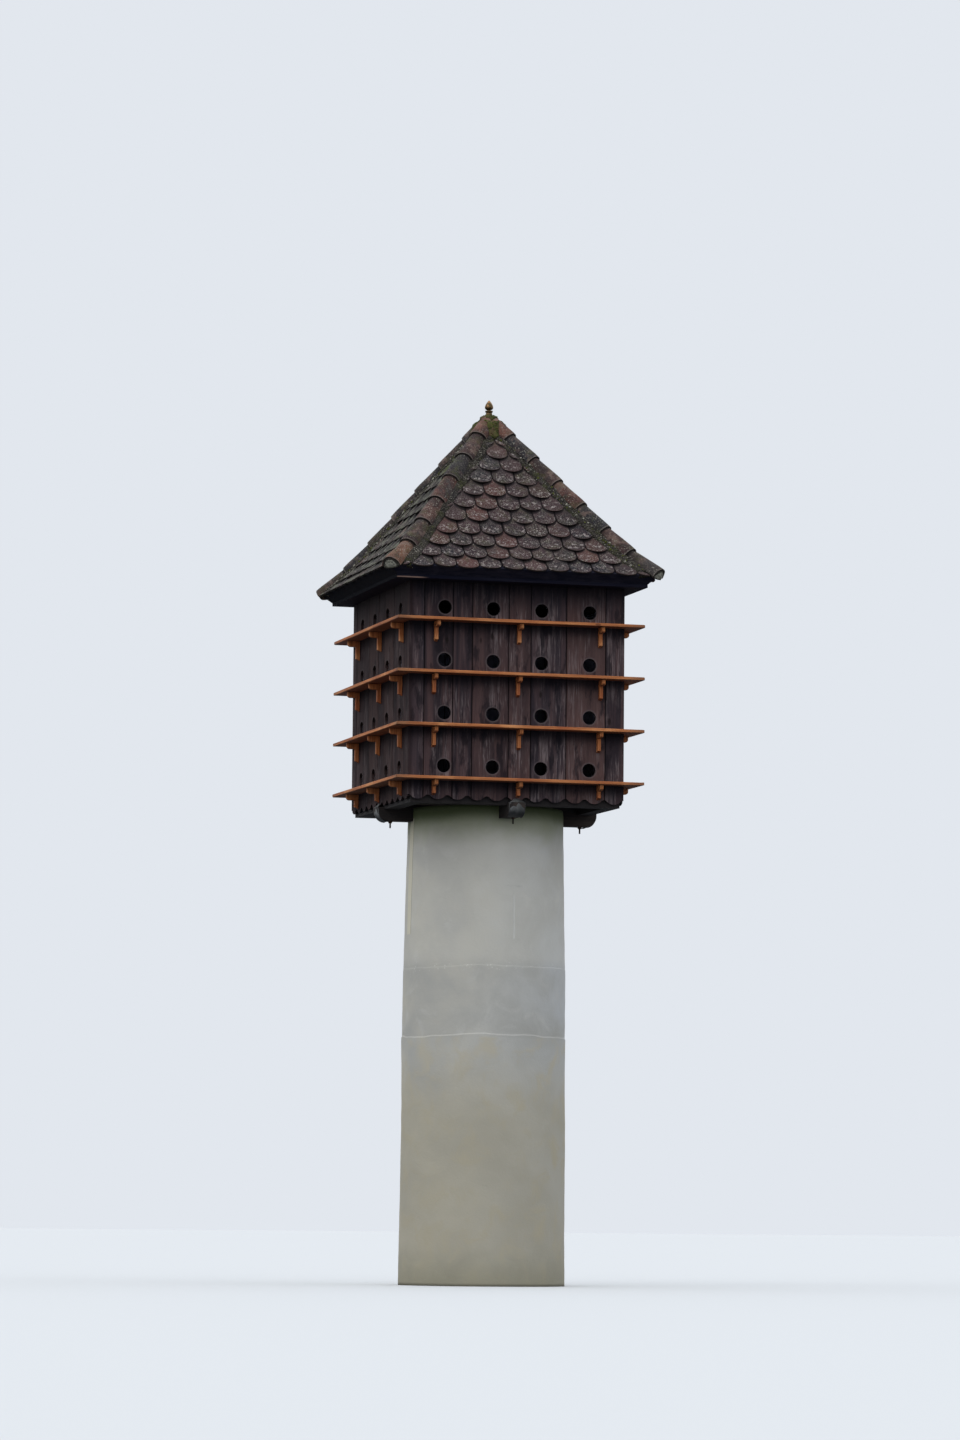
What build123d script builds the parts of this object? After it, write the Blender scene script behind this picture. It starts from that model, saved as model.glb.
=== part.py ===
from build123d import *
from math import cos, radians, sin, sqrt
import os

# Wooden dovecote on a round masonry column, in millimetres.
# The origin is on the ground in the middle of the column, the front faces -Y and +Z is up.

os.makedirs("parts", exist_ok=True)

# Column of plastered rubble
column_foot_radius = 712
column_middle_radius = 697
column_middle_height = 2680
column_top_radius = 668
column_height = 4075

# Two crossed beams let into the top of the column, which carry the box
beam_width = 140
beam_depth = 115
beam_overhang = 32
beam_nose_radius = 90
bolt_inset = 132
bolt_radius = 8
bolt_drop = 60
bolt_washer_radius = 30
bolt_washer_thickness = 5
bolt_nut_radius = 15
bolt_nut_height = 13
hood_sheet = 3
hood_side_margin = 3
hood_upstand = 35
hood_slope_run = 3
hood_top_width = 46
hood_tuck = 8
hood_clearance = 0.3

# Timber frame of the box
box_width = 1900
board_thickness = 27
timber = 120
sill_height = 120
sill_notch = 20
floor_thickness = 25

# Board walls with their scalloped lower edge
scallop_gap = 5
scallop_depth = 37
scallop_count = 11
scallop_lobe_share = 0.68
scallop_lobe_rise = 22
board_seams = (-819, -568, -398, -76, 120, 434, 783)
seam_width = 5
seam_depth = 6

# Flight holes and landing boards, in four rows
row_count = 4
row_height = 449
first_landing_rise = 95
top_row_height = 316
holes_per_side = 4
hole_spacing = 427
hole_radius = 57
hole_above_landing = 97
landing_thickness = 30
landing_depth = 140
mitre_gap = 2

# Brackets under the landing boards
brackets_per_side = 3
bracket_spacing = 727
bracket_width = 30
bracket_height = 170
bottom_bracket_height = 125
bracket_arm_length = 108
bracket_arm_depth = 50
bracket_arm_round = 26
bracket_leg_depth = 35
bracket_foot_slant = 16

# Boxed eaves and roof
soffit_thickness = 27
soffit_reach = 156
eaves_reach = 275
eaves_rise = 60
eaves_pitch = 40
roof_pitch = 52.5
sprocket_length = 520
roof_depth = 115
rafter_heel_inset = 20
tile_exposure = 157
tile_thickness = 15
tile_spacing = 199
tile_joint = 2
tail_clearance = 3
eaves_tile_overhang = 40
hip_bed_width = 180

# Half-round hip tiles
hip_tile_setback = 45
hip_tile_spacing = 273
hip_tile_overlap = 78
hip_tile_radius = 88
hip_tile_thickness = 14
hip_tile_clearance = 0.7
hip_axis_depth = 41
hip_bed_setback = 60
hip_bed_nose = 8
hip_plug_length = 130
hip_plug_recess = 12

# Apex cap and finial
cap_radius = 55
cap_gap = 2
cap_rise = 6
cap_crown_height = 19
cap_skirt_height = 60
cap_flat_radius = 30
cap_bulge = 3
finial_foot_radius = 26
finial_foot_height = 25
finial_collar_radius = 34
finial_collar_height = 12
finial_neck_radius = 16
finial_neck_height = 8
acorn_radius = 37
acorn_belly = 28
acorn_shoulder = 32
acorn_height = 85

# Places worked out from the sizes above
box_half = box_width / 2
frame_half = box_half - board_thickness
frame_inner = frame_half - timber
beam_top = column_height
beam_bottom = beam_top - beam_depth
beam_end = box_half + beam_overhang
sill_bottom = beam_top - sill_notch
sill_top = sill_bottom + sill_height
scallop_tip = beam_top + scallop_gap
landing_half = box_half + landing_depth
landing_tops = [sill_top + first_landing_rise + row_height * row for row in range(row_count)]
wall_top = landing_tops[-1] + top_row_height
plate_bottom = wall_top - timber
soffit_half = box_half + soffit_reach
soffit_top = wall_top + soffit_thickness
eaves_half = box_half + eaves_reach
eaves_height = soffit_top + eaves_rise
rafter_heel = box_half - rafter_heel_inset
hip_bed_end = eaves_half - hip_bed_setback
side_names = ("front", "right", "back", "left")
hip_names = ("front_right", "back_right", "back_left", "front_left")

UP = Vector(0, 0, 1)


def outward(angle):
    """Direction out of the side turned by angle from the front."""
    return Vector(sin(radians(angle)), -cos(radians(angle)), 0)


def side_plane(angle, distance):
    """Upright plane of one side: x along the wall, y up, facing out."""
    normal = outward(angle)
    return Plane(origin=normal * distance, x_dir=UP.cross(normal), z_dir=normal)


def section_plane(angle, offset=0):
    """Upright plane across one side: x outwards, y up, moved along the wall."""
    normal = outward(angle)
    along = UP.cross(normal)
    return Plane(origin=along * offset, x_dir=normal, z_dir=normal.cross(UP))


def finish(builder, name):
    """Name a finished piece and write its STEP file."""
    builder.part.label = name
    export_step(builder.part, f"parts/{name}.step")


# Roof surface: a sprocketed curve at the eaves that runs into the straight pitch
sprocket_radius = sprocket_length / radians(roof_pitch - eaves_pitch)
straight_length = (
    eaves_half
    - sprocket_radius * (sin(radians(roof_pitch)) - sin(radians(eaves_pitch)))
) / cos(radians(roof_pitch))
slope_length = sprocket_length + straight_length
halving_steps = 40


def roof_point(length, depth=0):
    """Point on the roof surface at a length up from the eaves, sunk by depth square to it."""
    bent = min(length, sprocket_length)
    angle = radians(eaves_pitch) + bent / sprocket_radius
    out = eaves_half - sprocket_radius * (sin(angle) - sin(radians(eaves_pitch)))
    height = eaves_height + sprocket_radius * (cos(radians(eaves_pitch)) - cos(angle))
    out -= (length - bent) * cos(angle)
    height += (length - bent) * sin(angle)
    return (out - depth * sin(angle), height - depth * cos(angle))


def length_at(out):
    """Length up the slope at which the surface is this far out from the axis."""
    low, high = 0, slope_length
    for _ in range(halving_steps):
        middle = (low + high) / 2
        if roof_point(middle)[0] > out:
            low = middle
        else:
            high = middle
    return low


# Column, with slots across its top for the beams
with BuildPart() as column:
    with BuildSketch(Plane.XZ):
        with BuildLine():
            Polyline(
                (0, 0),
                (column_foot_radius, 0),
                (column_middle_radius, column_middle_height),
                (column_top_radius, column_height),
                (0, column_height),
                close=True,
            )
        make_face()
    revolve(axis=Axis.Z)
    with BuildSketch(Plane.XY.offset(beam_bottom)):
        Rectangle(2 * box_half, beam_width)
        Rectangle(beam_width, 2 * box_half)
    extrude(amount=beam_top - beam_bottom, mode=Mode.SUBTRACT)
finish(column, "column")

# Crossed beams, halved over each other in the middle, with rounded noses
for name, angle, lap_bottom in (
    ("beam_front_to_back", 0, (beam_bottom + beam_top) / 2),
    ("beam_left_to_right", 90, beam_bottom),
):
    with BuildPart() as beam:
        with BuildSketch(section_plane(angle)):
            with BuildLine():
                Line((0, beam_top), (beam_end, beam_top))
                Line((beam_end, beam_top), (beam_end, beam_bottom + beam_nose_radius))
                TangentArc(
                    (beam_end, beam_bottom + beam_nose_radius),
                    (beam_end - beam_nose_radius, beam_bottom),
                    tangent=(0, -1),
                )
                Line((beam_end - beam_nose_radius, beam_bottom), (0, beam_bottom))
                mirror(about=Plane.YZ)
            make_face()
        extrude(amount=beam_width / 2, both=True)
        with BuildSketch(Plane.XY.offset(lap_bottom)):
            Rectangle(beam_width, beam_width)
        extrude(amount=(beam_top - beam_bottom) / 2, mode=Mode.SUBTRACT)
    finish(beam, name)

# Bolts that hang below the beam ends: washer, nut and threaded end
bolt_out = beam_end - bolt_inset
washer_bottom = beam_bottom - bolt_washer_thickness
nut_bottom = washer_bottom - bolt_nut_height
bolt_end = beam_bottom - bolt_drop
with BuildPart() as beam_bolts:
    for angle in range(0, 360, 90):
        with BuildSketch(section_plane(angle)):
            Polygon(
                (bolt_out, beam_bottom),
                (bolt_out + bolt_washer_radius, beam_bottom),
                (bolt_out + bolt_washer_radius, washer_bottom),
                (bolt_out + bolt_nut_radius, washer_bottom),
                (bolt_out + bolt_nut_radius, nut_bottom),
                (bolt_out + bolt_radius, nut_bottom),
                (bolt_out + bolt_radius, bolt_end),
                (bolt_out, bolt_end),
            )
        revolve(axis=Axis(outward(angle) * bolt_out, UP))
finish(beam_bolts, "beam_bolts")

# Sheet-metal hoods: a small pent from the wall over each beam end, then down round its nose
hood_width = beam_width + 2 * hood_side_margin
hood_face = beam_end + hood_clearance
nose_centre = (beam_end - beam_nose_radius, beam_bottom + beam_nose_radius)
with BuildPart() as beam_hoods:
    for angle in range(0, 360, 90):
        with BuildSketch(section_plane(angle)):
            with BuildLine():
                Polyline(
                    (nose_centre[0] - hood_tuck, beam_bottom - hood_clearance - hood_sheet),
                    (nose_centre[0], beam_bottom - hood_clearance - hood_sheet),
                )
                ThreePointArc(
                    (nose_centre[0], beam_bottom - hood_clearance - hood_sheet),
                    (
                        nose_centre[0] + (hood_face + hood_sheet - nose_centre[0]) * sqrt(0.5),
                        nose_centre[1] - (hood_face + hood_sheet - nose_centre[0]) * sqrt(0.5),
                    ),
                    (hood_face + hood_sheet, nose_centre[1]),
                )
                Polyline(
                    (hood_face + hood_sheet, nose_centre[1]),
                    (hood_face + hood_sheet, beam_top + hood_slope_run),
                    (box_half, beam_top + hood_upstand),
                    (box_half, beam_top + hood_upstand - 2 * hood_sheet),
                    (hood_face, beam_top + hood_slope_run - hood_sheet),
                    (hood_face, nose_centre[1]),
                )
                ThreePointArc(
                    (hood_face, nose_centre[1]),
                    (
                        nose_centre[0] + (hood_face - nose_centre[0]) * sqrt(0.5),
                        nose_centre[1] - (hood_face - nose_centre[0]) * sqrt(0.5),
                    ),
                    (nose_centre[0], beam_bottom - hood_clearance),
                )
                Polyline(
                    (nose_centre[0], beam_bottom - hood_clearance),
                    (nose_centre[0] - hood_tuck, beam_bottom - hood_clearance),
                    (nose_centre[0] - hood_tuck, beam_bottom - hood_clearance - hood_sheet),
                )
            make_face()
        extrude(amount=hood_width / 2, both=True)
        with BuildSketch(side_plane(angle, 0)):
            for side in (-1, 1):
                Polygon(
                    (side * hood_width / 2, beam_top),
                    (side * hood_width, beam_top),
                    (side * hood_width, beam_top + 2 * hood_upstand),
                    (side * hood_top_width / 2, beam_top + 2 * hood_upstand),
                    (side * hood_top_width / 2, beam_top + hood_upstand),
                )
        extrude(amount=eaves_half, mode=Mode.SUBTRACT)
finish(beam_hoods, "beam_hoods")

# Sills on the beams, notched over them; the front and back ones run right through
for angle, name in zip(range(0, 360, 90), side_names):
    sill_reach = frame_half if angle % 180 == 0 else frame_inner
    with BuildPart() as sill:
        with BuildSketch(section_plane(angle)):
            with Locations(((frame_half + frame_inner) / 2, sill_bottom + sill_height / 2)):
                Rectangle(timber, sill_height)
        extrude(amount=sill_reach, both=True)
        with BuildSketch(side_plane(angle, frame_inner)):
            with Locations((0, beam_top - timber / 2)):
                Rectangle(beam_width, timber)
        extrude(amount=timber, mode=Mode.SUBTRACT)
    finish(sill, f"sill_{name}")

# Floors: one on the sills and one level with each higher row of landing boards
floor_tops = [sill_top + floor_thickness] + landing_tops[1:]
for name, top in zip(("bottom_floor", "second_floor", "third_floor", "fourth_floor"), floor_tops):
    with BuildPart() as floor:
        with BuildSketch(Plane.XY.offset(top - floor_thickness)):
            Rectangle(2 * frame_half, 2 * frame_half)
            with GridLocations(2 * frame_half - timber, 2 * frame_half - timber, 2, 2):
                Rectangle(timber, timber, mode=Mode.SUBTRACT)
        extrude(amount=floor_thickness)
    finish(floor, name)

# Corner posts between the sills and the wall plate
for angle, name in zip(range(0, 360, 90), hip_names):
    corner = (outward(angle) + outward(angle + 90)) * (frame_half - timber / 2)
    with BuildPart() as post:
        with BuildSketch(Plane.XY.offset(sill_top)):
            with Locations((corner.X, corner.Y)):
                Rectangle(timber, timber)
        extrude(amount=plate_bottom - sill_top)
    finish(post, f"post_{name}")

# Wall plate: the frame on top of the posts
with BuildPart() as wall_plate:
    with BuildSketch(Plane.XY.offset(plate_bottom)):
        Rectangle(2 * frame_half, 2 * frame_half)
        Rectangle(2 * frame_inner, 2 * frame_inner, mode=Mode.SUBTRACT)
    extrude(amount=timber)
finish(wall_plate, "wall_plate")

# Board walls: four rows of round flight holes, open seams between the boards, scalloped foot
scallop_pitch = box_width / scallop_count
lobe_half = scallop_pitch * scallop_lobe_share / 2
lobe_end = scallop_tip + scallop_lobe_rise
arch_top = scallop_tip + scallop_depth
middle_hole = (landing_tops[0] + landing_tops[-1]) / 2 + hole_above_landing
for angle, name in zip(range(0, 360, 90), side_names):
    wall_half = box_half if angle % 180 == 0 else frame_half
    with BuildPart() as wall:
        with BuildSketch(side_plane(angle, frame_half)):
            with BuildLine():
                for lobe in range(scallop_count):
                    middle = -box_half + scallop_pitch * (lobe + 0.5)
                    ThreePointArc(
                        (middle - lobe_half, lobe_end),
                        (middle, scallop_tip),
                        (middle + lobe_half, lobe_end),
                    )
                    if lobe < scallop_count - 1:
                        ThreePointArc(
                            (middle + lobe_half, lobe_end),
                            (middle + scallop_pitch / 2, arch_top),
                            (middle + scallop_pitch - lobe_half, lobe_end),
                        )
                Polyline(
                    (box_half - scallop_pitch / 2 + lobe_half, lobe_end),
                    (box_half, arch_top),
                    (box_half, wall_top),
                    (-box_half, wall_top),
                    (-box_half, arch_top),
                    (-box_half + scallop_pitch / 2 - lobe_half, lobe_end),
                )
            make_face()
            with Locations((0, middle_hole)):
                with GridLocations(hole_spacing, row_height, holes_per_side, row_count):
                    Circle(hole_radius, mode=Mode.SUBTRACT)
            with Locations((0, wall_top / 2)):
                Rectangle(2 * wall_half, wall_top, mode=Mode.INTERSECT)
        extrude(amount=board_thickness)
        with BuildSketch(side_plane(angle, box_half)):
            with Locations(*[(seam, wall_top / 2) for seam in board_seams]):
                Rectangle(seam_width, wall_top)
        extrude(amount=-seam_depth, mode=Mode.SUBTRACT)
    finish(wall, f"wall_{name}")

# Landing boards: a mitred board on each side of every row
for row, top in enumerate(landing_tops):
    with BuildPart() as landing:
        with BuildSketch(Plane.XY.offset(top - landing_thickness)):
            with PolarLocations(0, len(side_names)):
                Polygon(
                    (-box_half + mitre_gap, -box_half),
                    (box_half - mitre_gap, -box_half),
                    (landing_half - mitre_gap, -landing_half),
                    (-landing_half + mitre_gap, -landing_half),
                )
        extrude(amount=landing_thickness)
    finish(landing, f"landing_boards_row_{row + 1}")

# Brackets: an arm under the board with a rounded end, and a leg down the wall
for row, top in enumerate(landing_tops):
    arm_top = top - landing_thickness
    arm_bottom = arm_top - bracket_arm_depth
    leg_bottom = arm_top - (bracket_height if row else bottom_bracket_height)
    arm_end = box_half + bracket_arm_length
    leg_face = box_half + bracket_leg_depth
    with BuildPart() as brackets:
        for angle in range(0, 360, 90):
            for step in range(brackets_per_side):
                offset = bracket_spacing * (step - (brackets_per_side - 1) / 2)
                with BuildSketch(section_plane(angle, offset)):
                    with BuildLine():
                        Polyline(
                            (box_half, leg_bottom),
                            (box_half, arm_top),
                            (arm_end, arm_top),
                            (arm_end, arm_bottom + bracket_arm_round),
                        )
                        ThreePointArc(
                            (arm_end, arm_bottom + bracket_arm_round),
                            (
                                arm_end - bracket_arm_round * (1 - sqrt(0.5)),
                                arm_bottom + bracket_arm_round * (1 - sqrt(0.5)),
                            ),
                            (arm_end - bracket_arm_round, arm_bottom),
                        )
                        Polyline(
                            (arm_end - bracket_arm_round, arm_bottom),
                            (leg_face, arm_bottom),
                            (leg_face, leg_bottom + bracket_foot_slant),
                            (box_half, leg_bottom),
                        )
                    make_face()
                extrude(amount=bracket_width / 2, both=True)
    finish(brackets, f"brackets_row_{row + 1}")

# Boxed eaves: four mitred boards under the rafter feet
with BuildPart() as eaves_soffit:
    with BuildSketch(Plane.XY.offset(wall_top)):
        with PolarLocations(0, len(side_names)):
            Polygon(
                (-frame_inner + mitre_gap, -frame_inner),
                (frame_inner - mitre_gap, -frame_inner),
                (soffit_half - mitre_gap, -soffit_half),
                (-soffit_half + mitre_gap, -soffit_half),
            )
    extrude(amount=soffit_thickness)
finish(eaves_soffit, "eaves_soffit")

# Under side that the roof slopes and the hip beds share, from the eaves in to the apex
heel_length = length_at(rafter_heel)
under_side = [
    roof_point(0, 2 * tile_thickness),
    roof_point(eaves_tile_overhang, 2 * tile_thickness),
    (soffit_half, soffit_top),
    (rafter_heel, soffit_top),
    roof_point(heel_length, roof_depth),
    roof_point(sprocket_length, roof_depth),
    roof_point(slope_length, roof_depth),
]

# Roof slopes: courses of beaver-tail tiles, each lapped over the one below, with round tails and
# open joints that lie half a tile apart from course to course, cut back for the hip beds
hip_setback = hip_bed_width / sqrt(2)
course_count = int(length_at(hip_setback) / tile_exposure - 0.5)
slope_outline = []
for course in range(course_count):
    slope_outline.append(roof_point(tile_exposure * course))
    slope_outline.append(roof_point(tile_exposure * (course + 1), tile_thickness))
slope_outline.append(roof_point(tile_exposure * course_count))
slope_outline.append(roof_point(slope_length))
tile_width = tile_spacing - tile_joint
tail_radius = tile_width / 2


def quarter_plan(setback):
    """Corners in plan of the quarter that one side or hip takes up, set back from its mitres."""
    reach = 2 * eaves_half
    return ((0, -setback), (-reach, -setback - reach), (reach, -setback - reach))


def course_plane(angle, course):
    """Top of the tiles that a course lies on, with its origin below the middle of the tails."""
    lower = max(course - 1, 0)
    low = Vector(*roof_point(tile_exposure * lower))
    high = Vector(*roof_point(tile_exposure * (lower + 1), tile_thickness))
    rise = (high - low).normalized()
    tail_out, tail_height = roof_point(tile_exposure * course, tile_thickness)
    out = outward(angle)
    return Plane(
        origin=out * tail_out + UP * tail_height,
        x_dir=UP.cross(out),
        z_dir=out * rise.Y - UP * rise.X,
    )


for angle, name in zip(range(0, 360, 90), side_names):
    with BuildPart() as slope:
        with BuildSketch(section_plane(angle)):
            Polygon(*slope_outline, *reversed(under_side))
        extrude(amount=eaves_half, both=True)
        for course in range(course_count):
            course_half, _ = roof_point(tile_exposure * course)
            tiles_aside = int(course_half / tile_spacing) + 1
            joint_top = tile_exposure - tail_clearance
            middles = [
                tile_spacing * (tile + (course + 1) % 2 / 2)
                for tile in range(-tiles_aside, tiles_aside + 1)
            ]
            with BuildSketch(course_plane(angle, course)):
                with Locations((0, (joint_top - tail_clearance) / 2)):
                    Rectangle(2 * course_half, joint_top + tail_clearance)
                with Locations(*[(middle, tail_radius) for middle in middles]):
                    Circle(tail_radius, mode=Mode.SUBTRACT)
                with Locations(*[(middle, tail_radius) for middle in middles]):
                    Rectangle(
                        tile_width, tile_exposure, align=(Align.CENTER, Align.MIN),
                        mode=Mode.SUBTRACT,
                    )
            extrude(amount=2 * tile_thickness, mode=Mode.SUBTRACT)
        with BuildSketch(Plane.XY):
            with Locations(Location((0, 0, 0), (0, 0, angle))):
                Polygon(*quarter_plan(hip_setback))
        extrude(amount=2 * eaves_height, mode=Mode.INTERSECT)
    finish(slope, f"roof_slope_{name}")


def hip_point(length, depth=0):
    """Point on the hip, as distance out along the diagonal and height."""
    out, height = roof_point(length, depth)
    return Vector(out * sqrt(2), height)


# Axis of each hip tile: its lower end, its direction up the hip and the length that stays bare
hip_axes = []
for tile in range(round((slope_length - hip_tile_setback) / hip_tile_spacing)):
    low = hip_point(hip_tile_setback + hip_tile_spacing * tile)
    high = hip_point(hip_tile_setback + hip_tile_spacing * (tile + 1))
    along = (high - low).normalized()
    sunk = Vector(along.Y, -along.X) * -hip_axis_depth
    hip_axes.append((low + sunk, along, (high - low).length))

hip_tile_taper = (hip_tile_thickness + hip_tile_clearance) / hip_axes[-2][2]
hip_tile_lengths = [bare + hip_tile_overlap for _, _, bare in hip_axes]
top_low, top_along, _ = hip_axes[-1]
hip_tile_lengths[-1] = (
    top_low.X + hip_tile_radius * top_along.Y - cap_radius - cap_gap
) / (hip_tile_taper * top_along.Y - top_along.X)
plug_radius = hip_tile_radius - hip_tile_thickness - hip_tile_clearance


def hip_tile_plane(angle, tile):
    """Plane through a hip tile's axis: origin at its lower end, y up the hip, facing up."""
    low, along, _ = hip_axes[tile]
    out = outward(angle)
    across = UP.cross(out)
    upward = out * along.X + UP * along.Y
    return Plane(
        origin=out * low.X + UP * low.Y, x_dir=across, z_dir=across.cross(upward)
    )


# Hip beds: rafter and mortar under the hip tiles, with a mortar plug in the mouth of the lowest
low, along, _ = hip_axes[0]
bed_top = [low + along * ((low.X - hip_bed_end * sqrt(2)) / -along.X)]
for (low, along, _), length in zip(hip_axes[:-1], hip_tile_lengths):
    bed_top.append(low + along * length)
low, along, _ = hip_axes[-1]
bed_top.append(low + along * (low.X / -along.X))
bed_outline = [(point.X, point.Y) for point in bed_top]
bed_foot = (bed_outline[0][0], bed_outline[0][1] - hip_bed_nose)
bed_under = [(out * sqrt(2), height) for out, height in under_side[2:-1]]
bed_peak = (0, hip_point(slope_length).Y - roof_depth / cos(radians(roof_pitch)))
hip_bed_parts = []
for turn, name in zip(range(0, 360, 90), hip_names):
    angle = turn + 45
    with BuildPart() as bed:
        with BuildSketch(section_plane(angle)):
            Polygon(*bed_outline, bed_peak, *reversed(bed_under), bed_foot)
        extrude(amount=hip_bed_width / 2, both=True)
        with BuildSketch(Plane.XY):
            with Locations(Location((0, 0, 0), (0, 0, angle))):
                Polygon(*quarter_plan(0))
        extrude(amount=2 * eaves_height, mode=Mode.INTERSECT)
        plug_plane = hip_tile_plane(angle, 0)
        with BuildSketch(plug_plane):
            Polygon(
                (0, hip_plug_recess),
                (plug_radius - hip_tile_taper * hip_plug_recess, hip_plug_recess),
                (plug_radius - hip_tile_taper * hip_plug_length, hip_plug_length),
                (0, hip_plug_length),
            )
        revolve(axis=Axis(plug_plane.origin, -plug_plane.y_dir), revolution_arc=180)
    hip_bed_parts.append(bed.part)
    finish(bed, f"hip_bed_{name}")

# Hip tiles: tapered half-round shells, each lapping over the narrow end of the one below
for turn, name in zip(range(0, 360, 90), hip_names):
    angle = turn + 45
    with BuildPart() as hip_tiles:
        for tile, length in enumerate(hip_tile_lengths):
            tile_plane = hip_tile_plane(angle, tile)
            narrow = hip_tile_radius - hip_tile_taper * length
            with BuildSketch(tile_plane):
                Polygon(
                    (hip_tile_radius - hip_tile_thickness, 0),
                    (hip_tile_radius, 0),
                    (narrow, length),
                    (narrow - hip_tile_thickness, length),
                )
            revolve(axis=Axis(tile_plane.origin, -tile_plane.y_dir), revolution_arc=180)
        with BuildSketch(Plane.XY):
            with Locations(Location((0, 0, 0), (0, 0, angle))):
                Polygon(*quarter_plan(mitre_gap))
        extrude(amount=2 * eaves_height, mode=Mode.INTERSECT)
    finish(hip_tiles, f"hip_tiles_{name}")

# Apex cap: a rounded mortar cap bedded on the hips and the heads of the four top tiles
cap_top = roof_point(slope_length)[1] + cap_rise
cap_edge = cap_top - cap_crown_height
cap_skirt = cap_edge - cap_skirt_height
with BuildPart() as apex_cap:
    with BuildSketch(Plane.XZ):
        with BuildLine():
            Polyline((0, cap_top), (0, cap_skirt), (cap_radius, cap_skirt), (cap_radius, cap_edge))
            ThreePointArc(
                (cap_radius, cap_edge),
                ((cap_radius + cap_flat_radius) / 2 + cap_bulge, (cap_edge + cap_top) / 2 + cap_bulge),
                (cap_flat_radius, cap_top),
            )
            Line((cap_flat_radius, cap_top), (0, cap_top))
        make_face()
    revolve(axis=Axis.Z)
    add(hip_bed_parts, mode=Mode.SUBTRACT)
    for turn in range(0, 360, 90):
        tile_plane = hip_tile_plane(turn + 45, len(hip_axes) - 1)
        length = hip_tile_lengths[-1] + hip_tile_clearance
        head_radius = hip_tile_radius - hip_tile_taper * length + hip_tile_clearance
        with BuildSketch(tile_plane):
            Polygon((0, 0), (hip_tile_radius, 0), (head_radius, length), (0, length))
        revolve(
            axis=Axis(tile_plane.origin, -tile_plane.y_dir), revolution_arc=180,
            mode=Mode.SUBTRACT,
        )
finish(apex_cap, "apex_cap")

# Finial: a turned acorn on a collar
collar_bottom = cap_top + finial_foot_height
collar_top = collar_bottom + finial_collar_height
acorn_bottom = collar_top + finial_neck_height
belly_height = acorn_bottom + acorn_belly
with BuildPart() as finial:
    with BuildSketch(Plane.XZ):
        with BuildLine():
            Polyline(
                (0, cap_top),
                (finial_foot_radius, cap_top),
                (finial_foot_radius, collar_bottom),
                (finial_collar_radius, collar_bottom),
                (finial_collar_radius, collar_top),
                (finial_neck_radius, collar_top),
                (finial_neck_radius, acorn_bottom),
            )
            Bezier(
                (finial_neck_radius, acorn_bottom),
                (acorn_radius, acorn_bottom),
                (acorn_radius, belly_height),
            )
            Bezier(
                (acorn_radius, belly_height),
                (acorn_radius, belly_height + acorn_shoulder),
                (0, acorn_bottom + acorn_height),
            )
            Line((0, acorn_bottom + acorn_height), (0, cap_top))
        make_face()
    revolve(axis=Axis.Z)
finish(finial, "finial")
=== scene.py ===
from math import cos, pi, radians, sin, sqrt
import random

import bmesh
import bpy
from mathutils import Matrix, Vector, noise


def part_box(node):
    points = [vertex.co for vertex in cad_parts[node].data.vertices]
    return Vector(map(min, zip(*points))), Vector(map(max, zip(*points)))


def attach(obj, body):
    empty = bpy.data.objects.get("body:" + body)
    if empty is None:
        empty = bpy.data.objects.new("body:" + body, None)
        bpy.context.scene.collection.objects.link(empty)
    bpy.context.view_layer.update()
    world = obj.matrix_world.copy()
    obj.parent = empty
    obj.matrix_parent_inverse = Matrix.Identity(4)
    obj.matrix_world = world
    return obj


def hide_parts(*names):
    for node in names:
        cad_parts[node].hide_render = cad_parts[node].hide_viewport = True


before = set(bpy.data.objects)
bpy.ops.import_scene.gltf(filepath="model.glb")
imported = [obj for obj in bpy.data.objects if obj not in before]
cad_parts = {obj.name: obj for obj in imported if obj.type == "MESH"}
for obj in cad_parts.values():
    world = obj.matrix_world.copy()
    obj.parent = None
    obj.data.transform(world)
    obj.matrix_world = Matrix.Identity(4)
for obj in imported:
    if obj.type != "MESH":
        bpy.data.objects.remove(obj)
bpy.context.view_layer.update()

# The camera stands 44 m off and low down, with a long lens, where the picture was taken from.
# A pale floor and an even overcast sky light the dovecote softly from all round, and one broad
# lamp high on the front left gives the forms a little shape.
camera_place = Vector((-12.038, -42.260, 0.52))
camera_turn = radians(-15.829)
camera_rise = radians(5.645)
camera_roll = radians(0.511)
camera_lens = 127.59
camera_reach = 2000
floor_half = 300
sky_strength = 1.10
sky_zenith = 1.35
sky_horizon = 0.74
lamp_strength = 0.45
lamp_angle = radians(50)
lamp_tilt = (radians(48), 0, radians(-48))

eye = bpy.data.cameras.new("camera")
eye.lens = camera_lens
eye.clip_end = camera_reach
camera = bpy.data.objects.new("camera", eye)
camera.matrix_world = (
    Matrix.Translation(camera_place)
    @ Matrix.Rotation(camera_turn, 4, "Z")
    @ Matrix.Rotation(pi / 2 + camera_rise, 4, "X")
    @ Matrix.Rotation(camera_roll, 4, "Z")
)
bpy.context.scene.collection.objects.link(camera)
bpy.context.scene.camera = camera
bpy.context.scene.view_settings.view_transform = "Standard"


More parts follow.
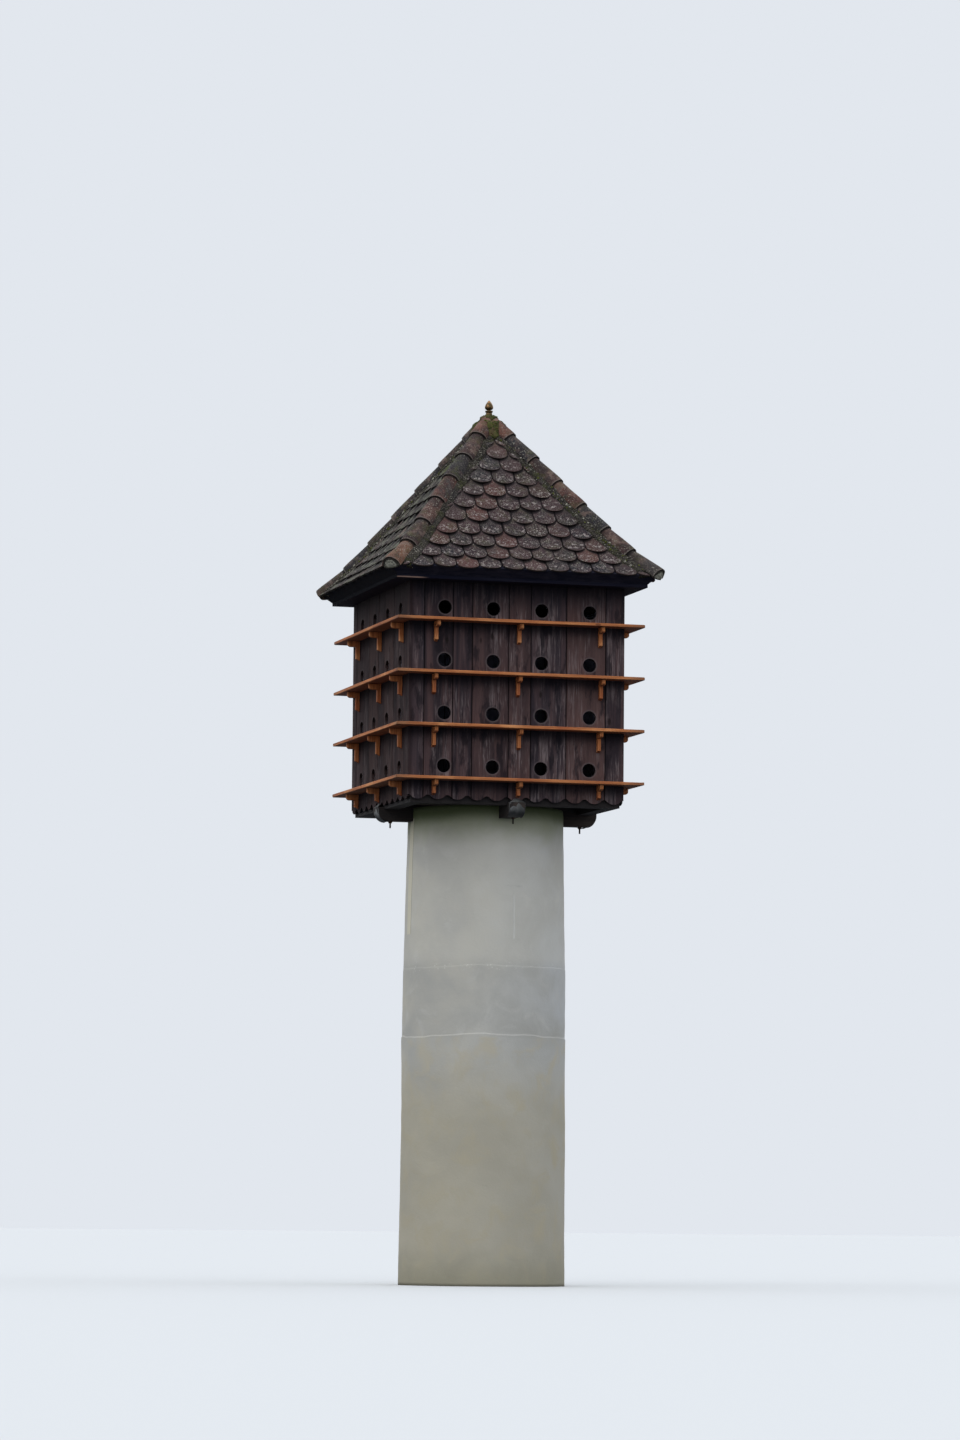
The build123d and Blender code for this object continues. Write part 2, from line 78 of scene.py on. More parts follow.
class Wire:
    """One output socket of a node tree. Sums on it add Math nodes to the same tree."""

    def __init__(self, socket):
        self.socket = socket
        self.tree = socket.id_data

    def node(self, kind, settings=None, values=None, output=0):
        """Add a node: its settings first, then the value or wire of each named input."""
        made = self.tree.nodes.new(kind)
        for key, value in (settings or {}).items():
            if key == "stops":
                made.color_ramp.elements[1].position = value[1][0]
                made.color_ramp.elements[1].color = value[1][1]
                made.color_ramp.elements[0].position = value[0][0]
                made.color_ramp.elements[0].color = value[0][1]
                for position, colour in value[2:]:
                    made.color_ramp.elements.new(position).color = colour
            else:
                setattr(made, key, value)
        for key, value in (values or {}).items():
            if isinstance(value, Wire):
                self.tree.links.new(value.socket, made.inputs[key])
            else:
                made.inputs[key].default_value = value
        return Wire(made.outputs[output])

    def maths(self, operation, *terms):
        """A Math node with this wire as its first value."""
        return self.node("ShaderNodeMath", {"operation": operation}, dict(enumerate((self, *terms))))

    def __add__(self, other):
        return self.maths("ADD", other)

    def __sub__(self, other):
        return self.maths("SUBTRACT", other)

    def __rsub__(self, other):
        return (self * -1) + other

    def __mul__(self, other):
        return self.maths("MULTIPLY", other)

    def __truediv__(self, other):
        return self.maths("DIVIDE", other)

    def times(self, *factors):
        """A vector with each axis multiplied."""
        return self.node("ShaderNodeVectorMath", {"operation": "MULTIPLY"}, {0: self, 1: factors})

    def moved(self, offset):
        """A vector shifted by another one, or by the same number on each axis."""
        return self.node("ShaderNodeVectorMath", {"operation": "ADD"}, {0: self, 1: offset})

    def axis(self, number):
        return self.node("ShaderNodeSeparateXYZ", None, {0: self}, number)

    def length(self):
        return self.node("ShaderNodeVectorMath", {"operation": "LENGTH"}, {0: self}, 1)

    def absolute(self):
        return self.maths("ABSOLUTE")

    def square_to(self, other):
        """How far off a point is that lies this far one way and the other far square to it."""
        return (self * self + other * other).maths("SQRT")

    def ramp(self, low, high):
        """A smooth step from 0 at low to 1 at high."""
        return self.node(
            "ShaderNodeMapRange",
            {"interpolation_type": "SMOOTHSTEP"},
            {"Value": self, "From Min": low, "From Max": high},
        )

    def mottle(self, scale, detail=4.0, roughness=0.6, warp=0.0):
        """Noise from 0 to 1 over a vector."""
        return self.node(
            "ShaderNodeTexNoise",
            None,
            {"Vector": self, "Scale": scale, "Detail": detail, "Roughness": roughness, "Distortion": warp},
        )

    def fibres(self, across, along, detail, roughness, warp=0.0):
        """Noise over a vector, drawn out along its second axis as wood grain is."""
        return self.times(across, along, across).mottle(1.0, detail, roughness, warp)

    def spots(self, scale, feature="F1"):
        """Distance to scattered points, or to the cracks between them."""
        return self.node("ShaderNodeTexVoronoi", {"feature": feature}, {"Vector": self, "Scale": scale})

    def blend(self, first, second):
        """This wire as a factor from 0 to 1 between two colours."""
        return self.node(
            "ShaderNodeMix", {"data_type": "RGBA"}, {0: self, 6: first, 7: second}, output=2
        )


def tone(red, green, blue):
    """The colour that a shader takes for one picked on a screen, 0 to 255."""
    linear = [
        part / 12.92 if part < 0.04045 else ((part + 0.055) / 1.055) ** 2.4
        for part in (red / 255, green / 255, blue / 255)
    ]
    return (*linear, 1.0)


def new_finish(name):
    """A new material, and the object's own coordinates in it."""
    finish = bpy.data.materials.new(name)
    finish.use_nodes = True
    place = finish.node_tree.nodes.new("ShaderNodeTexCoord")
    return finish, Wire(place.outputs["Object"])


def facing_back(finish, axis, low=0.3, high=0.7):
    """1 where a surface looks the way in which an axis falls, 0 where it looks another way."""
    normal = Wire(finish.node_tree.nodes.new("ShaderNodeNewGeometry").outputs["Normal"])
    return (normal.axis(axis) * -1).ramp(low, high)


def coat(finish, colour, roughness, relief=None, depth=0.001, metallic=0.0, specular=0.35):
    """Feed a material's shader: colour, roughness and a relief of this depth in metres."""
    shader = finish.node_tree.nodes["Principled BSDF"]
    feeds = [("Base Color", colour), ("Roughness", roughness)]
    if relief is not None:
        feeds.append(
            ("Normal", relief.node("ShaderNodeBump", None, {"Height": relief, "Distance": depth}))
        )
    for name, value in feeds:
        if isinstance(value, Wire):
            finish.node_tree.links.new(value.socket, shader.inputs[name])
        else:
            shader.inputs[name].default_value = value
    shader.inputs["Metallic"].default_value = metallic
    shader.inputs["Specular IOR Level"].default_value = specular
    return finish


sky = bpy.data.worlds.new("sky")
sky.use_nodes = True
bpy.context.scene.world = sky
backdrop = sky.node_tree.nodes["Background"]
backdrop.inputs["Strength"].default_value = sky_strength
path = sky.node_tree.nodes.new("ShaderNodeLightPath")
height = Wire(sky.node_tree.nodes.new("ShaderNodeTexCoord").outputs["Generated"]).axis(2)
overcast = height.ramp(0.0, 1.0).blend(
    (sky_horizon * 0.97, sky_horizon, sky_horizon * 1.03, 1.0),
    (sky_zenith * 0.96, sky_zenith, sky_zenith * 1.05, 1.0),
)
plain = tuple(part / sky_strength for part in tone(226, 231, 238)[:3]) + (1.0,)
seen = Wire(path.outputs["Is Camera Ray"]).blend(overcast, plain)
sky.node_tree.links.new(seen.socket, backdrop.inputs["Color"])

lamp = bpy.data.lights.new("soft_lamp", "SUN")
lamp.energy = lamp_strength
lamp.angle = lamp_angle
lamp_stand = bpy.data.objects.new("soft_lamp", lamp)
lamp_stand.rotation_euler = lamp_tilt
bpy.context.scene.collection.objects.link(lamp_stand)

floor_mesh = bpy.data.meshes.new("studio_floor")
floor_mesh.from_pydata(
    [(x, y, 0) for x, y in ((-1, -1), (1, -1), (1, 1), (-1, 1))], [], [(0, 1, 2, 3)]
)
floor_mesh.transform(Matrix.Scale(floor_half, 4))
studio_floor = bpy.data.objects.new("studio_floor", floor_mesh)
bpy.context.scene.collection.objects.link(studio_floor)
floor_finish, _ = new_finish("studio_floor")
camera_ray = Wire(floor_finish.node_tree.nodes.new("ShaderNodeLightPath").outputs["Is Camera Ray"])
floor_colour = camera_ray.blend(tone(82, 85, 90), tone(199, 201, 203))
floor_mesh.materials.append(coat(floor_finish, floor_colour, 0.9))


# The column is a round pier of rubble under lime plaster, trowelled on in three lifts, so two
# wavy joints run round it. It is pale and mottled, with green algae in the drip of the box above,
# a lap in the plaster at its left and a patched crack on its right.
_, column_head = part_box("column")
column_foot_radius = column_head.x
column_middle_radius = 0.697
column_middle_height = 2.68
column_top_radius = 0.668
column_sides = 192
column_rings = 150
day_joints = (2.11, 2.70)
joint_rings = (-0.014, -0.005, 0.0, 0.004, 0.012)
joint_wave = 0.022
joint_reach = 0.25
joint_step = 0.0035
joint_steps = (1.5, 0.4)
joint_step_height = 0.5
joint_clearance = 0.02
head_fade = 0.05
plaster_swell = 0.006
plaster_trowel = 0.0022
plaster_lap_angle = radians(-172)
plaster_lap_heights = (2.98, 3.99)
plaster_patch_angle = radians(-84.6)
plaster_patch_heights = (2.945, 3.40)
plaster_crack_heights = (2.93, 3.34)
splash_heights = (0.10, 0.55)
warm_foot_heights = (1.5, 2.3)
damp_heights = (3.82, 4.12)
soot_heights = (3.985, 4.115)


def new_piece(name, mesh, *finishes, slot, replaces):
    """Put a finished mesh on the dovecote, with its materials and the nodes that it stands for."""
    piece = bpy.data.objects.new(name, mesh)
    bpy.context.scene.collection.objects.link(piece)
    for finish in finishes:
        mesh.materials.append(finish)
    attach(piece, "root")
    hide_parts(*replaces)


def column_radius(height):
    """The radius of the plaster at a height, straight between foot, middle and top."""
    if height < column_middle_height:
        share = height / column_middle_height
        return column_foot_radius + (column_middle_radius - column_foot_radius) * share
    share = (height - column_middle_height) / (column_head.z - column_middle_height)
    return column_middle_radius + (column_top_radius - column_middle_radius) * share


def rough(x, y, z, scale):
    """Smooth noise from -1 to 1 at a point."""
    return noise.noise(Vector((x, y, z)) * scale)


def layered(colour, *layers):
    """A colour with others laid over it in turn, each as strongly as its mask says."""
    for mask, over in layers:
        colour = mask.blend(colour, over)
    return colour


ring_heights = [column_head.z * ring / column_rings for ring in range(column_rings + 1)]
ring_heights = [
    height for height in ring_heights
    if all(abs(height - joint) > joint_clearance for joint in day_joints)
]
ring_heights += [joint + offset for joint in day_joints for offset in joint_rings]
ring_heights.sort()
column_points = []
for height in ring_heights:
    for side in range(column_sides):
        angle = 2 * pi * side / column_sides
        x, y = cos(angle), sin(angle)
        radius = column_radius(height)
        swell = rough(x, y, height, 1.1) * plaster_swell
        swell += rough(x, y, height * 1.6, 5.0) * plaster_trowel
        moved = height
        for joint, step in zip(day_joints, joint_steps):
            near = max(0, 1 - abs(height - joint) / joint_reach)
            wave = rough(x * 1.6, y * 1.6, joint * 3, 1.0) + 0.35 * rough(x * 6, y * 6, joint, 1.0)
            moved += near * joint_wave * wave
            if height <= joint:
                swell += joint_step * step * max(0, 1 - (joint - height) / joint_step_height)
        radius += swell * min(1, (column_head.z - height) / head_fade)
        column_points.append((radius * x, radius * y, moved))
column_faces = [
    (
        ring * column_sides + side,
        ring * column_sides + (side + 1) % column_sides,
        (ring + 1) * column_sides + (side + 1) % column_sides,
        (ring + 1) * column_sides + side,
    )
    for ring in range(len(ring_heights) - 1)
    for side in range(column_sides)
]
last_ring = (len(ring_heights) - 1) * column_sides
column_faces.append(tuple(reversed(range(column_sides))))
column_faces.append(tuple(range(last_ring, last_ring + column_sides)))
column_mesh = bpy.data.meshes.new("plastered_column")
column_mesh.from_pydata(column_points, [], column_faces)
for face in column_mesh.polygons:
    face.use_smooth = len(face.vertices) == 4

plaster, place = new_finish("lime_plaster")
height = place.axis(2)
turn = place.axis(1).maths("ARCTAN2", place.axis(0))
clouds = place.mottle(1.6, 5.0, 0.55, 0.4)
patches = place.moved((4, 2, 7)).mottle(4.5, 6.0, 0.62, 0.6)
specks = place.mottle(42.0, 5.0, 0.7)
# Painted light: the plaster is tinted warm on its left and cool on its right, as the light falls on it.
painted_warm_cool_light = (place.axis(0) + place.moved((9, 1, 3)).mottle(2.2) * 0.9).ramp(-0.35, 1.15)
lower_joint, upper_joint = day_joints
lower_lift = 1 - height.ramp(lower_joint - 0.025, lower_joint + 0.010)
warm_foot = lower_lift * (1 - (height + clouds * 0.3).ramp(*warm_foot_heights))
upper_lift = height.ramp(upper_joint - 0.03, upper_joint + 0.10)
damp = (height + patches * 0.24).ramp(*damp_heights)
soot = (height + clouds * 0.12 + place.axis(0).absolute() * 0.05).ramp(*soot_heights)
splash = 1 - (height + patches * 0.3).ramp(*splash_heights)
lap_low, lap_high = plaster_lap_heights
lap_zone = height.ramp(lap_low, lap_low + 0.02) * (1 - height.ramp(lap_high - 0.02, lap_high))
from_lap = turn - plaster_lap_angle + patches * 0.012 - 0.006
lap_crack = (1 - from_lap.absolute().ramp(0.003, 0.009)) * lap_zone
past_lap = from_lap * -1
lap_strip = past_lap.ramp(-0.004, 0.006) * (1 - past_lap.ramp(0.16, 0.22)) * lap_zone
crack_low, crack_high = plaster_crack_heights
patch_across = (turn - plaster_patch_angle).absolute()
patch_line = (1 - patch_across.ramp(0.004, 0.011)) * height.ramp(crack_low, crack_low + 0.02)
patch_line = patch_line * (1 - height.ramp(crack_high - 0.06, crack_high))
patch_low, patch_high = plaster_patch_heights
patch_rim = height + patches * 0.03
patch_edge = (patch_rim - patch_high).absolute().maths("MINIMUM", (patch_rim - patch_low).absolute())
patch_edge = 1 - patch_edge.ramp(0.004, 0.012)
patch_edge = patch_edge * (1 - (patch_across + patches * 0.3).ramp(0.2, 0.3))
chip_band = 1 - (height - upper_joint + clouds * 0.04 - 0.02).absolute().ramp(0.01, 0.05)
chips = (1 - (place.moved((5, 5, 5)).spots(26.0) + specks * 0.2).ramp(0.24, 0.30)) * chip_band
plaster_colour = layered(
    painted_warm_cool_light.blend(tone(190, 186, 174), tone(186, 188, 189)),
    (clouds.ramp(0.35, 0.7), tone(170, 169, 164)),
    (patches.ramp(0.52, 0.78), tone(190, 189, 184)),
    (lower_lift * patches.ramp(0.45, 0.7) * 0.6, tone(181, 170, 142)),
    (lower_lift * 0.12, tone(203, 204, 200)),
    (warm_foot * 0.55, tone(166, 157, 132)),
    (upper_lift * 0.36, tone(207, 204, 194)),
    (damp * 0.64, tone(144, 150, 108)),
    (soot * 0.84, tone(68, 80, 30)),
    (splash * 0.7, tone(140, 136, 116)),
    (lap_crack * 0.75, tone(104, 98, 82)),
    (lap_strip * 0.6, tone(214, 207, 182)),
    (patch_line * 0.6, tone(222, 222, 218)),
    (patch_edge * patches.ramp(0.4, 0.6) * 0.3, tone(120, 120, 116)),
    (chips * 0.55, tone(212, 211, 204)),
    (specks.ramp(0.62, 0.8) * 0.25, tone(150, 148, 138)),
)
plaster_relief = clouds * 0.4 + patches * 0.35 + specks * 0.12 - patch_line * 0.25
coat(plaster, plaster_colour, specks * 0.15 + 0.8, plaster_relief, 0.012)
new_piece("plastered_column", column_mesh, plaster, slot="lime_plaster", replaces=["column"])


# Two squared beams cross on top of the column, let into its masonry and halved over each other.
# Their ends stick out under the box with rounded noses. Old oiled softwood, nearly black.


def timber(name, lie, dark=tone(38, 33, 32), middle=tone(58, 49, 45), pale=tone(86, 77, 70)):
    """Old framing softwood, its grain along the world axis numbered lie."""
    finish, place = new_finish(name)
    parts = [place.axis(0), place.axis(1), place.axis(2)]
    up_grain = parts.pop(lie)
    grain = place.node("ShaderNodeCombineXYZ", None, {0: parts[0], 1: up_grain, 2: parts[1]})
    fibres = grain.fibres(230, 5, 6.0, 0.7, 0.2)
    streaks = grain.fibres(48, 1.4, 5.0, 0.62, 0.6)
    weather = grain.moved((3, 8, 5)).fibres(6, 1.6, 5.0, 0.6)
    bleached = (weather * 0.75 + fibres * 0.25).ramp(0.5, 0.68) * streaks.ramp(0.42, 0.7)
    colour = layered(
        grain.fibres(13, 0.55, 3.0, 0.5, 0.8).ramp(0.36, 0.64).blend(dark, middle),
        (streaks.ramp(0.5, 0.72) * 0.55, middle),
        (bleached * 0.35, pale),
        ((1 - fibres.ramp(0.3, 0.46)) * 0.55, dark),
    )
    relief = fibres * 0.55 + streaks * 0.45
    return coat(finish, colour, streaks * 0.16 + 0.70, relief, 0.002, specular=0.28)


def dress(node, finish):
    """Give a CAD node its finish in place of the plain colour it came with."""
    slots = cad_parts[node].data.materials
    slots.clear()
    slots.append(finish)


dress("beam_front_to_back", timber("beam_along_y", 1))
dress("beam_left_to_right", timber("beam_along_x", 0))


# A bolt hangs below each beam end: a round washer, a hexagonal nut and the threaded end of the
# rod, forged iron gone black-brown with rust. All four are one bolt set round the column.
bolt_low, bolt_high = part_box("beam_bolts")
bolt_washer_radius = 0.030
bolt_washer_thickness = 0.005
bolt_nut_radius = 0.0165
bolt_nut_height = 0.013
bolt_rod_radius = 0.008
bolt_thread_pitch = 0.0035
bolt_thread_depth = 0.0012
bolt_washer_edge = 0.001
bolt_edge = 0.002
bolt_nut_sides = 6
bolt_rod_sides = 12
bolt_out = bolt_high.x - bolt_washer_radius
lathe_sides = 24


def lathe(profile, sides):
    """Closed mesh turned about an upright axis from radius and height pairs, bottom to top."""
    turned = bmesh.new()
    rings = []
    for radius, height in profile:
        if radius == 0:
            rings.append([turned.verts.new((0, 0, height))])
            continue
        rings.append([
            turned.verts.new(
                (radius * cos(2 * pi * side / sides), radius * sin(2 * pi * side / sides), height)
            )
            for side in range(sides)
        ])
    for lower, upper in zip(rings[:-1], rings[1:]):
        for side in range(sides):
            after = (side + 1) % sides
            corners = [lower[side % len(lower)], lower[after % len(lower)]]
            corners += [upper[after % len(upper)], upper[side % len(upper)]]
            turned.faces.new(list(dict.fromkeys(corners)))
    if len(rings[0]) > 1:
        turned.faces.new(list(reversed(rings[0])))
    if len(rings[-1]) > 1:
        turned.faces.new(rings[-1])
    bmesh.ops.recalc_face_normals(turned, faces=turned.faces)
    return turned


def to_mesh(shape, name, smooth=False):
    """Turn a bmesh into a mesh, shaded smooth or flat."""
    mesh = bpy.data.meshes.new(name)
    for face in shape.faces:
        face.smooth = smooth
    shape.to_mesh(mesh)
    shape.free()
    return mesh


def add_part(shape, part):
    """Join a second closed shape to a first one."""
    part_mesh = to_mesh(part, "part")
    shape.from_mesh(part_mesh)
    bpy.data.meshes.remove(part_mesh)


washer_top = bolt_high.z
washer_bottom = washer_top - bolt_washer_thickness
nut_bottom = washer_bottom - bolt_nut_height
bolt_shape = lathe(
    [
        (bolt_washer_radius - bolt_washer_edge, washer_bottom),
        (bolt_washer_radius, washer_bottom + bolt_washer_edge),
        (bolt_washer_radius, washer_top),
    ],
    lathe_sides,
)
nut = lathe(
    [
        (bolt_nut_radius - bolt_edge, nut_bottom),
        (bolt_nut_radius, nut_bottom + bolt_edge),
        (bolt_nut_radius, washer_bottom),
    ],
    bolt_nut_sides,
)
thread = [(0, bolt_low.z), (bolt_rod_radius - bolt_edge, bolt_low.z)]
turn_height = bolt_low.z + bolt_edge
while turn_height < nut_bottom - bolt_thread_pitch:
    thread.append((bolt_rod_radius, turn_height))
    thread.append((bolt_rod_radius - bolt_thread_depth, turn_height + bolt_thread_pitch / 2))
    turn_height += bolt_thread_pitch
thread.append((bolt_rod_radius, nut_bottom))
rod = lathe(thread, bolt_rod_sides)
for part in (nut, rod):
    add_part(bolt_shape, part)
bmesh.ops.translate(bolt_shape, verts=bolt_shape.verts, vec=(0, -bolt_out, 0))
bolt_mesh = to_mesh(bolt_shape, "beam_bolt")


def new_tree(name, sizes):
    """A geometry tree with a named input for each size, and the wires that its inputs give."""
    tree = bpy.data.node_groups.new(name, "GeometryNodeTree")
    tree.interface.new_socket("Geometry", in_out="OUTPUT", socket_type="NodeSocketGeometry")
    for label, kind in {"Geometry": "Geometry", **sizes, "Finish": "Material"}.items():
        tree.interface.new_socket(label, in_out="INPUT", socket_type="NodeSocket" + kind)
    inlet = tree.nodes.new("NodeGroupInput")
    return tree, {socket.name: Wire(socket) for socket in inlet.outputs if socket.name}


def close_tree(tree, wire, finish):
    """End a tree: instances made real, then the material."""
    real = wire.node("GeometryNodeRealizeInstances", None, {0: wire})
    done = real.node("GeometryNodeSetMaterial", None, {"Geometry": real, "Material": finish})
    outlet = tree.nodes.new("NodeGroupOutput")
    tree.links.new(done.socket, outlet.inputs[0])


def grown(name, mesh, tree, values):
    """The plain mesh that a tree makes of a mesh with these values for its named inputs."""
    seed = bpy.data.objects.new(name, mesh)
    bpy.context.scene.collection.objects.link(seed)
    modifier = seed.modifiers.new("repeat", "NODES")
    modifier.node_group = tree
    for item in tree.interface.items_tree:
        if item.in_out == "INPUT" and item.name in values:
            modifier[item.identifier] = values[item.name]
    graph = bpy.context.evaluated_depsgraph_get()
    result = bpy.data.meshes.new_from_object(seed.evaluated_get(graph))
    result.name = name
    seed.modifiers.remove(modifier)
    bpy.data.objects.remove(seed)
    return result


def dice(wire, low, high, seed, kind="FLOAT"):
    """A random number or vector of its own for each point."""
    sockets = (0, 1, 0) if kind == "FLOAT_VECTOR" else (2, 3, 1)
    return wire.node(
        "FunctionNodeRandomValue", {"data_type": kind},
        {sockets[0]: low, sockets[1]: high, 8: seed}, output=sockets[2],
    )


def copies_at(points, pattern, turned, number, **more):
    """A copy of a pattern at each point, with a number of its own for the material to read."""
    copies = points.node(
        "GeometryNodeInstanceOnPoints", None,
        {"Points": points, "Instance": pattern, "Rotation": turned, **more},
    )
    return copies.node(
        "GeometryNodeStoreNamedAttribute", {"data_type": "FLOAT", "domain": "INSTANCE"},
        {"Geometry": copies, "Name": "number", "Value": number},
    )


# Sets copies of a piece round the upright axis: so many sides, so many along each and a spacing
# along the side, each copy a little out of true and with a number of its own.
copy_slip = 0.002
copy_lean = 0.1
round_tree, size = new_tree("set_round_the_box", {
    "Sides": "Int", "Along": "Int", "Spacing": "Float", "Wobble": "Float", "Seed": "Int",
})
stations = size["Sides"].node(
    "GeometryNodeMeshLine", None, {"Count": size["Sides"] * size["Along"]}
)
index = Wire(round_tree.nodes.new("GeometryNodeInputIndex").outputs[0])
side_number = (index / size["Along"]).maths("FLOOR")
step_number = index - side_number * size["Along"]
side_turn = side_number * (2 * pi) / size["Sides"]
along_side = (step_number - (size["Along"] - 1) / 2) * size["Spacing"]
along_side = along_side + dice(index, -copy_slip, copy_slip, size["Seed"] + 1)
station = index.node("ShaderNodeCombineXYZ", None, {0: along_side})
station = station.node(
    "ShaderNodeVectorRotate", {"rotation_type": "Z_AXIS"}, {"Vector": station, "Angle": side_turn}
)
stations = stations.node(
    "GeometryNodeSetPosition", None, {"Geometry": stations, "Position": station}
)
lean = dice(index, size["Wobble"] * -1, size["Wobble"], size["Seed"] + 2)
turned = index.node("ShaderNodeCombineXYZ", None, {2: side_turn + lean * copy_lean})
copies = copies_at(stations, size["Geometry"], turned, dice(index, 0.0, 1.0, size["Seed"]))
close_tree(round_tree, copies, size["Finish"])


def set_round(name, pattern, finish, seed, along=1, spacing=0.0, wobble=0.0):
    """Copies of a mesh on all four sides of the box, so many along each."""
    return grown(name, pattern, round_tree, {
        "Sides": 4, "Along": along, "Spacing": spacing, "Wobble": wobble, "Seed": seed,
        "Finish": finish,
    })


bolt_iron, place = new_finish("bolt_iron")
crust = place.mottle(160, 6.0, 0.7)
rust = place.moved((1, 2, 3)).mottle(45, 5.0, 0.65)
iron_colour = layered(
    rust.ramp(0.42, 0.66).blend(tone(44, 40, 38), tone(86, 58, 42)),
    (crust.ramp(0.6, 0.75) * 0.5, tone(118, 78, 52)),
)
coat(bolt_iron, iron_colour, rust * 0.3 + 0.5, crust, 0.0008, metallic=0.35)
bolts = set_round("beam_bolts_threaded", bolt_mesh, bolt_iron, seed=3)
new_piece("beam_bolts_threaded", bolts, slot="bolt_iron", replaces=["beam_bolts"])


# A hood of zinc sheet keeps the rain off each beam end: a small pent dressed to the wall, narrow
# at its top, then the sheet falls over the end and curls in under the nose. Dented and dull.
hood_low, hood_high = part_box("beam_hoods")
_, beam_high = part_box("beam_left_to_right")
hood_face = hood_high.x
hood_half_width = 0.073
hood_top_half_width = 0.023
hood_wall = 0.950
hood_nose_radius = 0.093
hood_lip = 0.008
hood_sheet = 0.0025
hood_dent = 0.0028
hood_edge_fold = 0.004
hood_across = 16
hood_foot_taper = 0.014
hood_turn_in = 0.004
hood_pent_rows = 5
hood_fall_rows = 6
hood_nose_rows = 12
hood_pent_facing = (cos(pi * 0.45), 1)

nose_out = hood_face - hood_nose_radius
nose_height = hood_low.z + hood_nose_radius
hood_run = []
for step in range(hood_pent_rows + 1):
    share = step / hood_pent_rows
    hood_run.append((
        hood_wall + (hood_face - hood_turn_in - hood_wall) * share,
        hood_high.z + (beam_high.z + hood_turn_in - hood_high.z) * share,
        hood_top_half_width + (hood_half_width - hood_top_half_width) * share,
    ))
for step in range(hood_fall_rows):
    fall = beam_high.z - 0.001 + (nose_height - beam_high.z) * step / (hood_fall_rows - 1)
    hood_run.append((hood_face, fall, hood_half_width))
for step in range(1, hood_nose_rows + 1):
    angle = pi / 2 * step / hood_nose_rows
    hood_run.append((
        nose_out + hood_nose_radius * cos(angle),
        nose_height - hood_nose_radius * sin(angle),
        hood_half_width - hood_foot_taper * (step / hood_nose_rows) ** 2,
    ))
hood_run.append((nose_out - hood_lip, hood_low.z, hood_half_width - hood_foot_taper))
hood_points = []
nose_row = hood_pent_rows + hood_fall_rows
for row, (out, height, half) in enumerate(hood_run):
    angle = pi / 2 * min(1, max(0, (row - nose_row) / hood_nose_rows))
    lean, lift = (cos(angle), sin(angle)) if row > hood_pent_rows else hood_pent_facing
    for column in range(hood_across + 1):
        share = 2 * column / hood_across - 1
        dent = min(0, hood_dent * (rough(share * 1.5, row * 0.16, 3.0, 1.0) - 0.35)) - hood_sheet
        dent -= hood_edge_fold * max(0, abs(share) - 0.9) / 0.1
        hood_points.append((half * share, -out - dent * lean, height + dent * lift))
row_points = hood_across + 1
hood_faces = [
    (row * row_points + column, (row + 1) * row_points + column,
     (row + 1) * row_points + column + 1, row * row_points + column + 1)
    for row in range(len(hood_run) - 1)
    for column in range(hood_across)
]
hood_mesh = bpy.data.meshes.new("beam_hood")
hood_mesh.from_pydata(hood_points, [], hood_faces)
hood_shape = bmesh.new()
hood_shape.from_mesh(hood_mesh)
bmesh.ops.recalc_face_normals(hood_shape, faces=hood_shape.faces)
middle_face = min(hood_shape.faces, key=lambda face: face.calc_center_median().y)
if middle_face.normal.y > 0:
    bmesh.ops.reverse_faces(hood_shape, faces=hood_shape.faces)
bmesh.ops.solidify(hood_shape, geom=hood_shape.faces, thickness=hood_sheet)
hood_mesh = to_mesh(hood_shape, "beam_hood", smooth=True)

zinc, place = new_finish("hood_sheet_metal")
film = place.times(14, 14, 5).mottle(1.0, 5.0, 0.6)
bloom = place.mottle(70, 5.0, 0.7)
grime = (film * 0.5 + place.mottle(9, 4.0) * 0.5).ramp(0.52, 0.7)
from_middle = place.axis(0).absolute().maths("MINIMUM", place.axis(1).absolute())
folded_edge_highlight = from_middle.ramp(hood_half_width - 0.013, hood_half_width - 0.003)
from_pent_shadow_line = (place.axis(2) - beam_high.z + bloom * 0.004).absolute()
painted_shade_right = (place.axis(0) + film * 0.02).ramp(0.000, 0.045)
painted_shade_under_nose = 1 - (place.axis(2) + film * 0.03).ramp(nose_height - 0.055, nose_height - 0.010)
# Painted light on the zinc: a pale painted highlight along the folded edges, a dark painted shadow line
# under the pent, painted shade darkening the sheet towards the right, and painted shade where it curls in
# under the nose.
zinc_colour = layered(
    film.ramp(0.35, 0.68).blend(tone(88, 89, 89), tone(126, 127, 127)),
    (bloom.ramp(0.56, 0.74) * 0.5, tone(150, 152, 154)),
    (grime * 0.5, tone(42, 42, 40)),
    (folded_edge_highlight * 0.5, tone(150, 152, 154)),
    ((1 - from_pent_shadow_line.ramp(0.002, 0.006)) * 0.85, tone(12, 12, 16)),
    (painted_shade_right * 0.65, tone(40, 44, 44)),
    (painted_shade_under_nose * 0.75, tone(26, 27, 30)),
)
coat(zinc, zinc_colour, film * 0.2 + 0.48, bloom * 0.3 + film, 0.0008, metallic=0.35)
hoods = set_round("sheet_hoods", hood_mesh, zinc, seed=5)
new_piece("sheet_hoods", hoods, slot="hood_sheet_metal", replaces=["beam_hoods"])


# The box stands on a frame of sills notched over the beams, with corner posts, a wall plate and
# four board floors, the upper ones limewashed. The boxed eaves are dark boards under the rafter
# feet, and the lower edge of the front one has worn to bare wood near its left end.
# The sills take a darker copy of the timber colours: painted shade for the shadow below the scalloped
# board feet.
sill_tones_painted_shade = (tone(24, 21, 23), tone(37, 32, 32), tone(58, 52, 49))
sill_across = timber("sill_along_x", 0, *sill_tones_painted_shade)
sill_along = timber("sill_along_y", 1, *sill_tones_painted_shade)
for node in ("sill_front", "sill_back"):
    dress(node, sill_across)
for node in ("sill_left", "sill_right"):
    dress(node, sill_along)
post_timber = timber("corner_post", 2)
for corner in ("front_right", "back_right", "back_left", "front_left"):
    dress(f"post_{corner}", post_timber)
dress("wall_plate", timber("wall_plate_timber", 0))


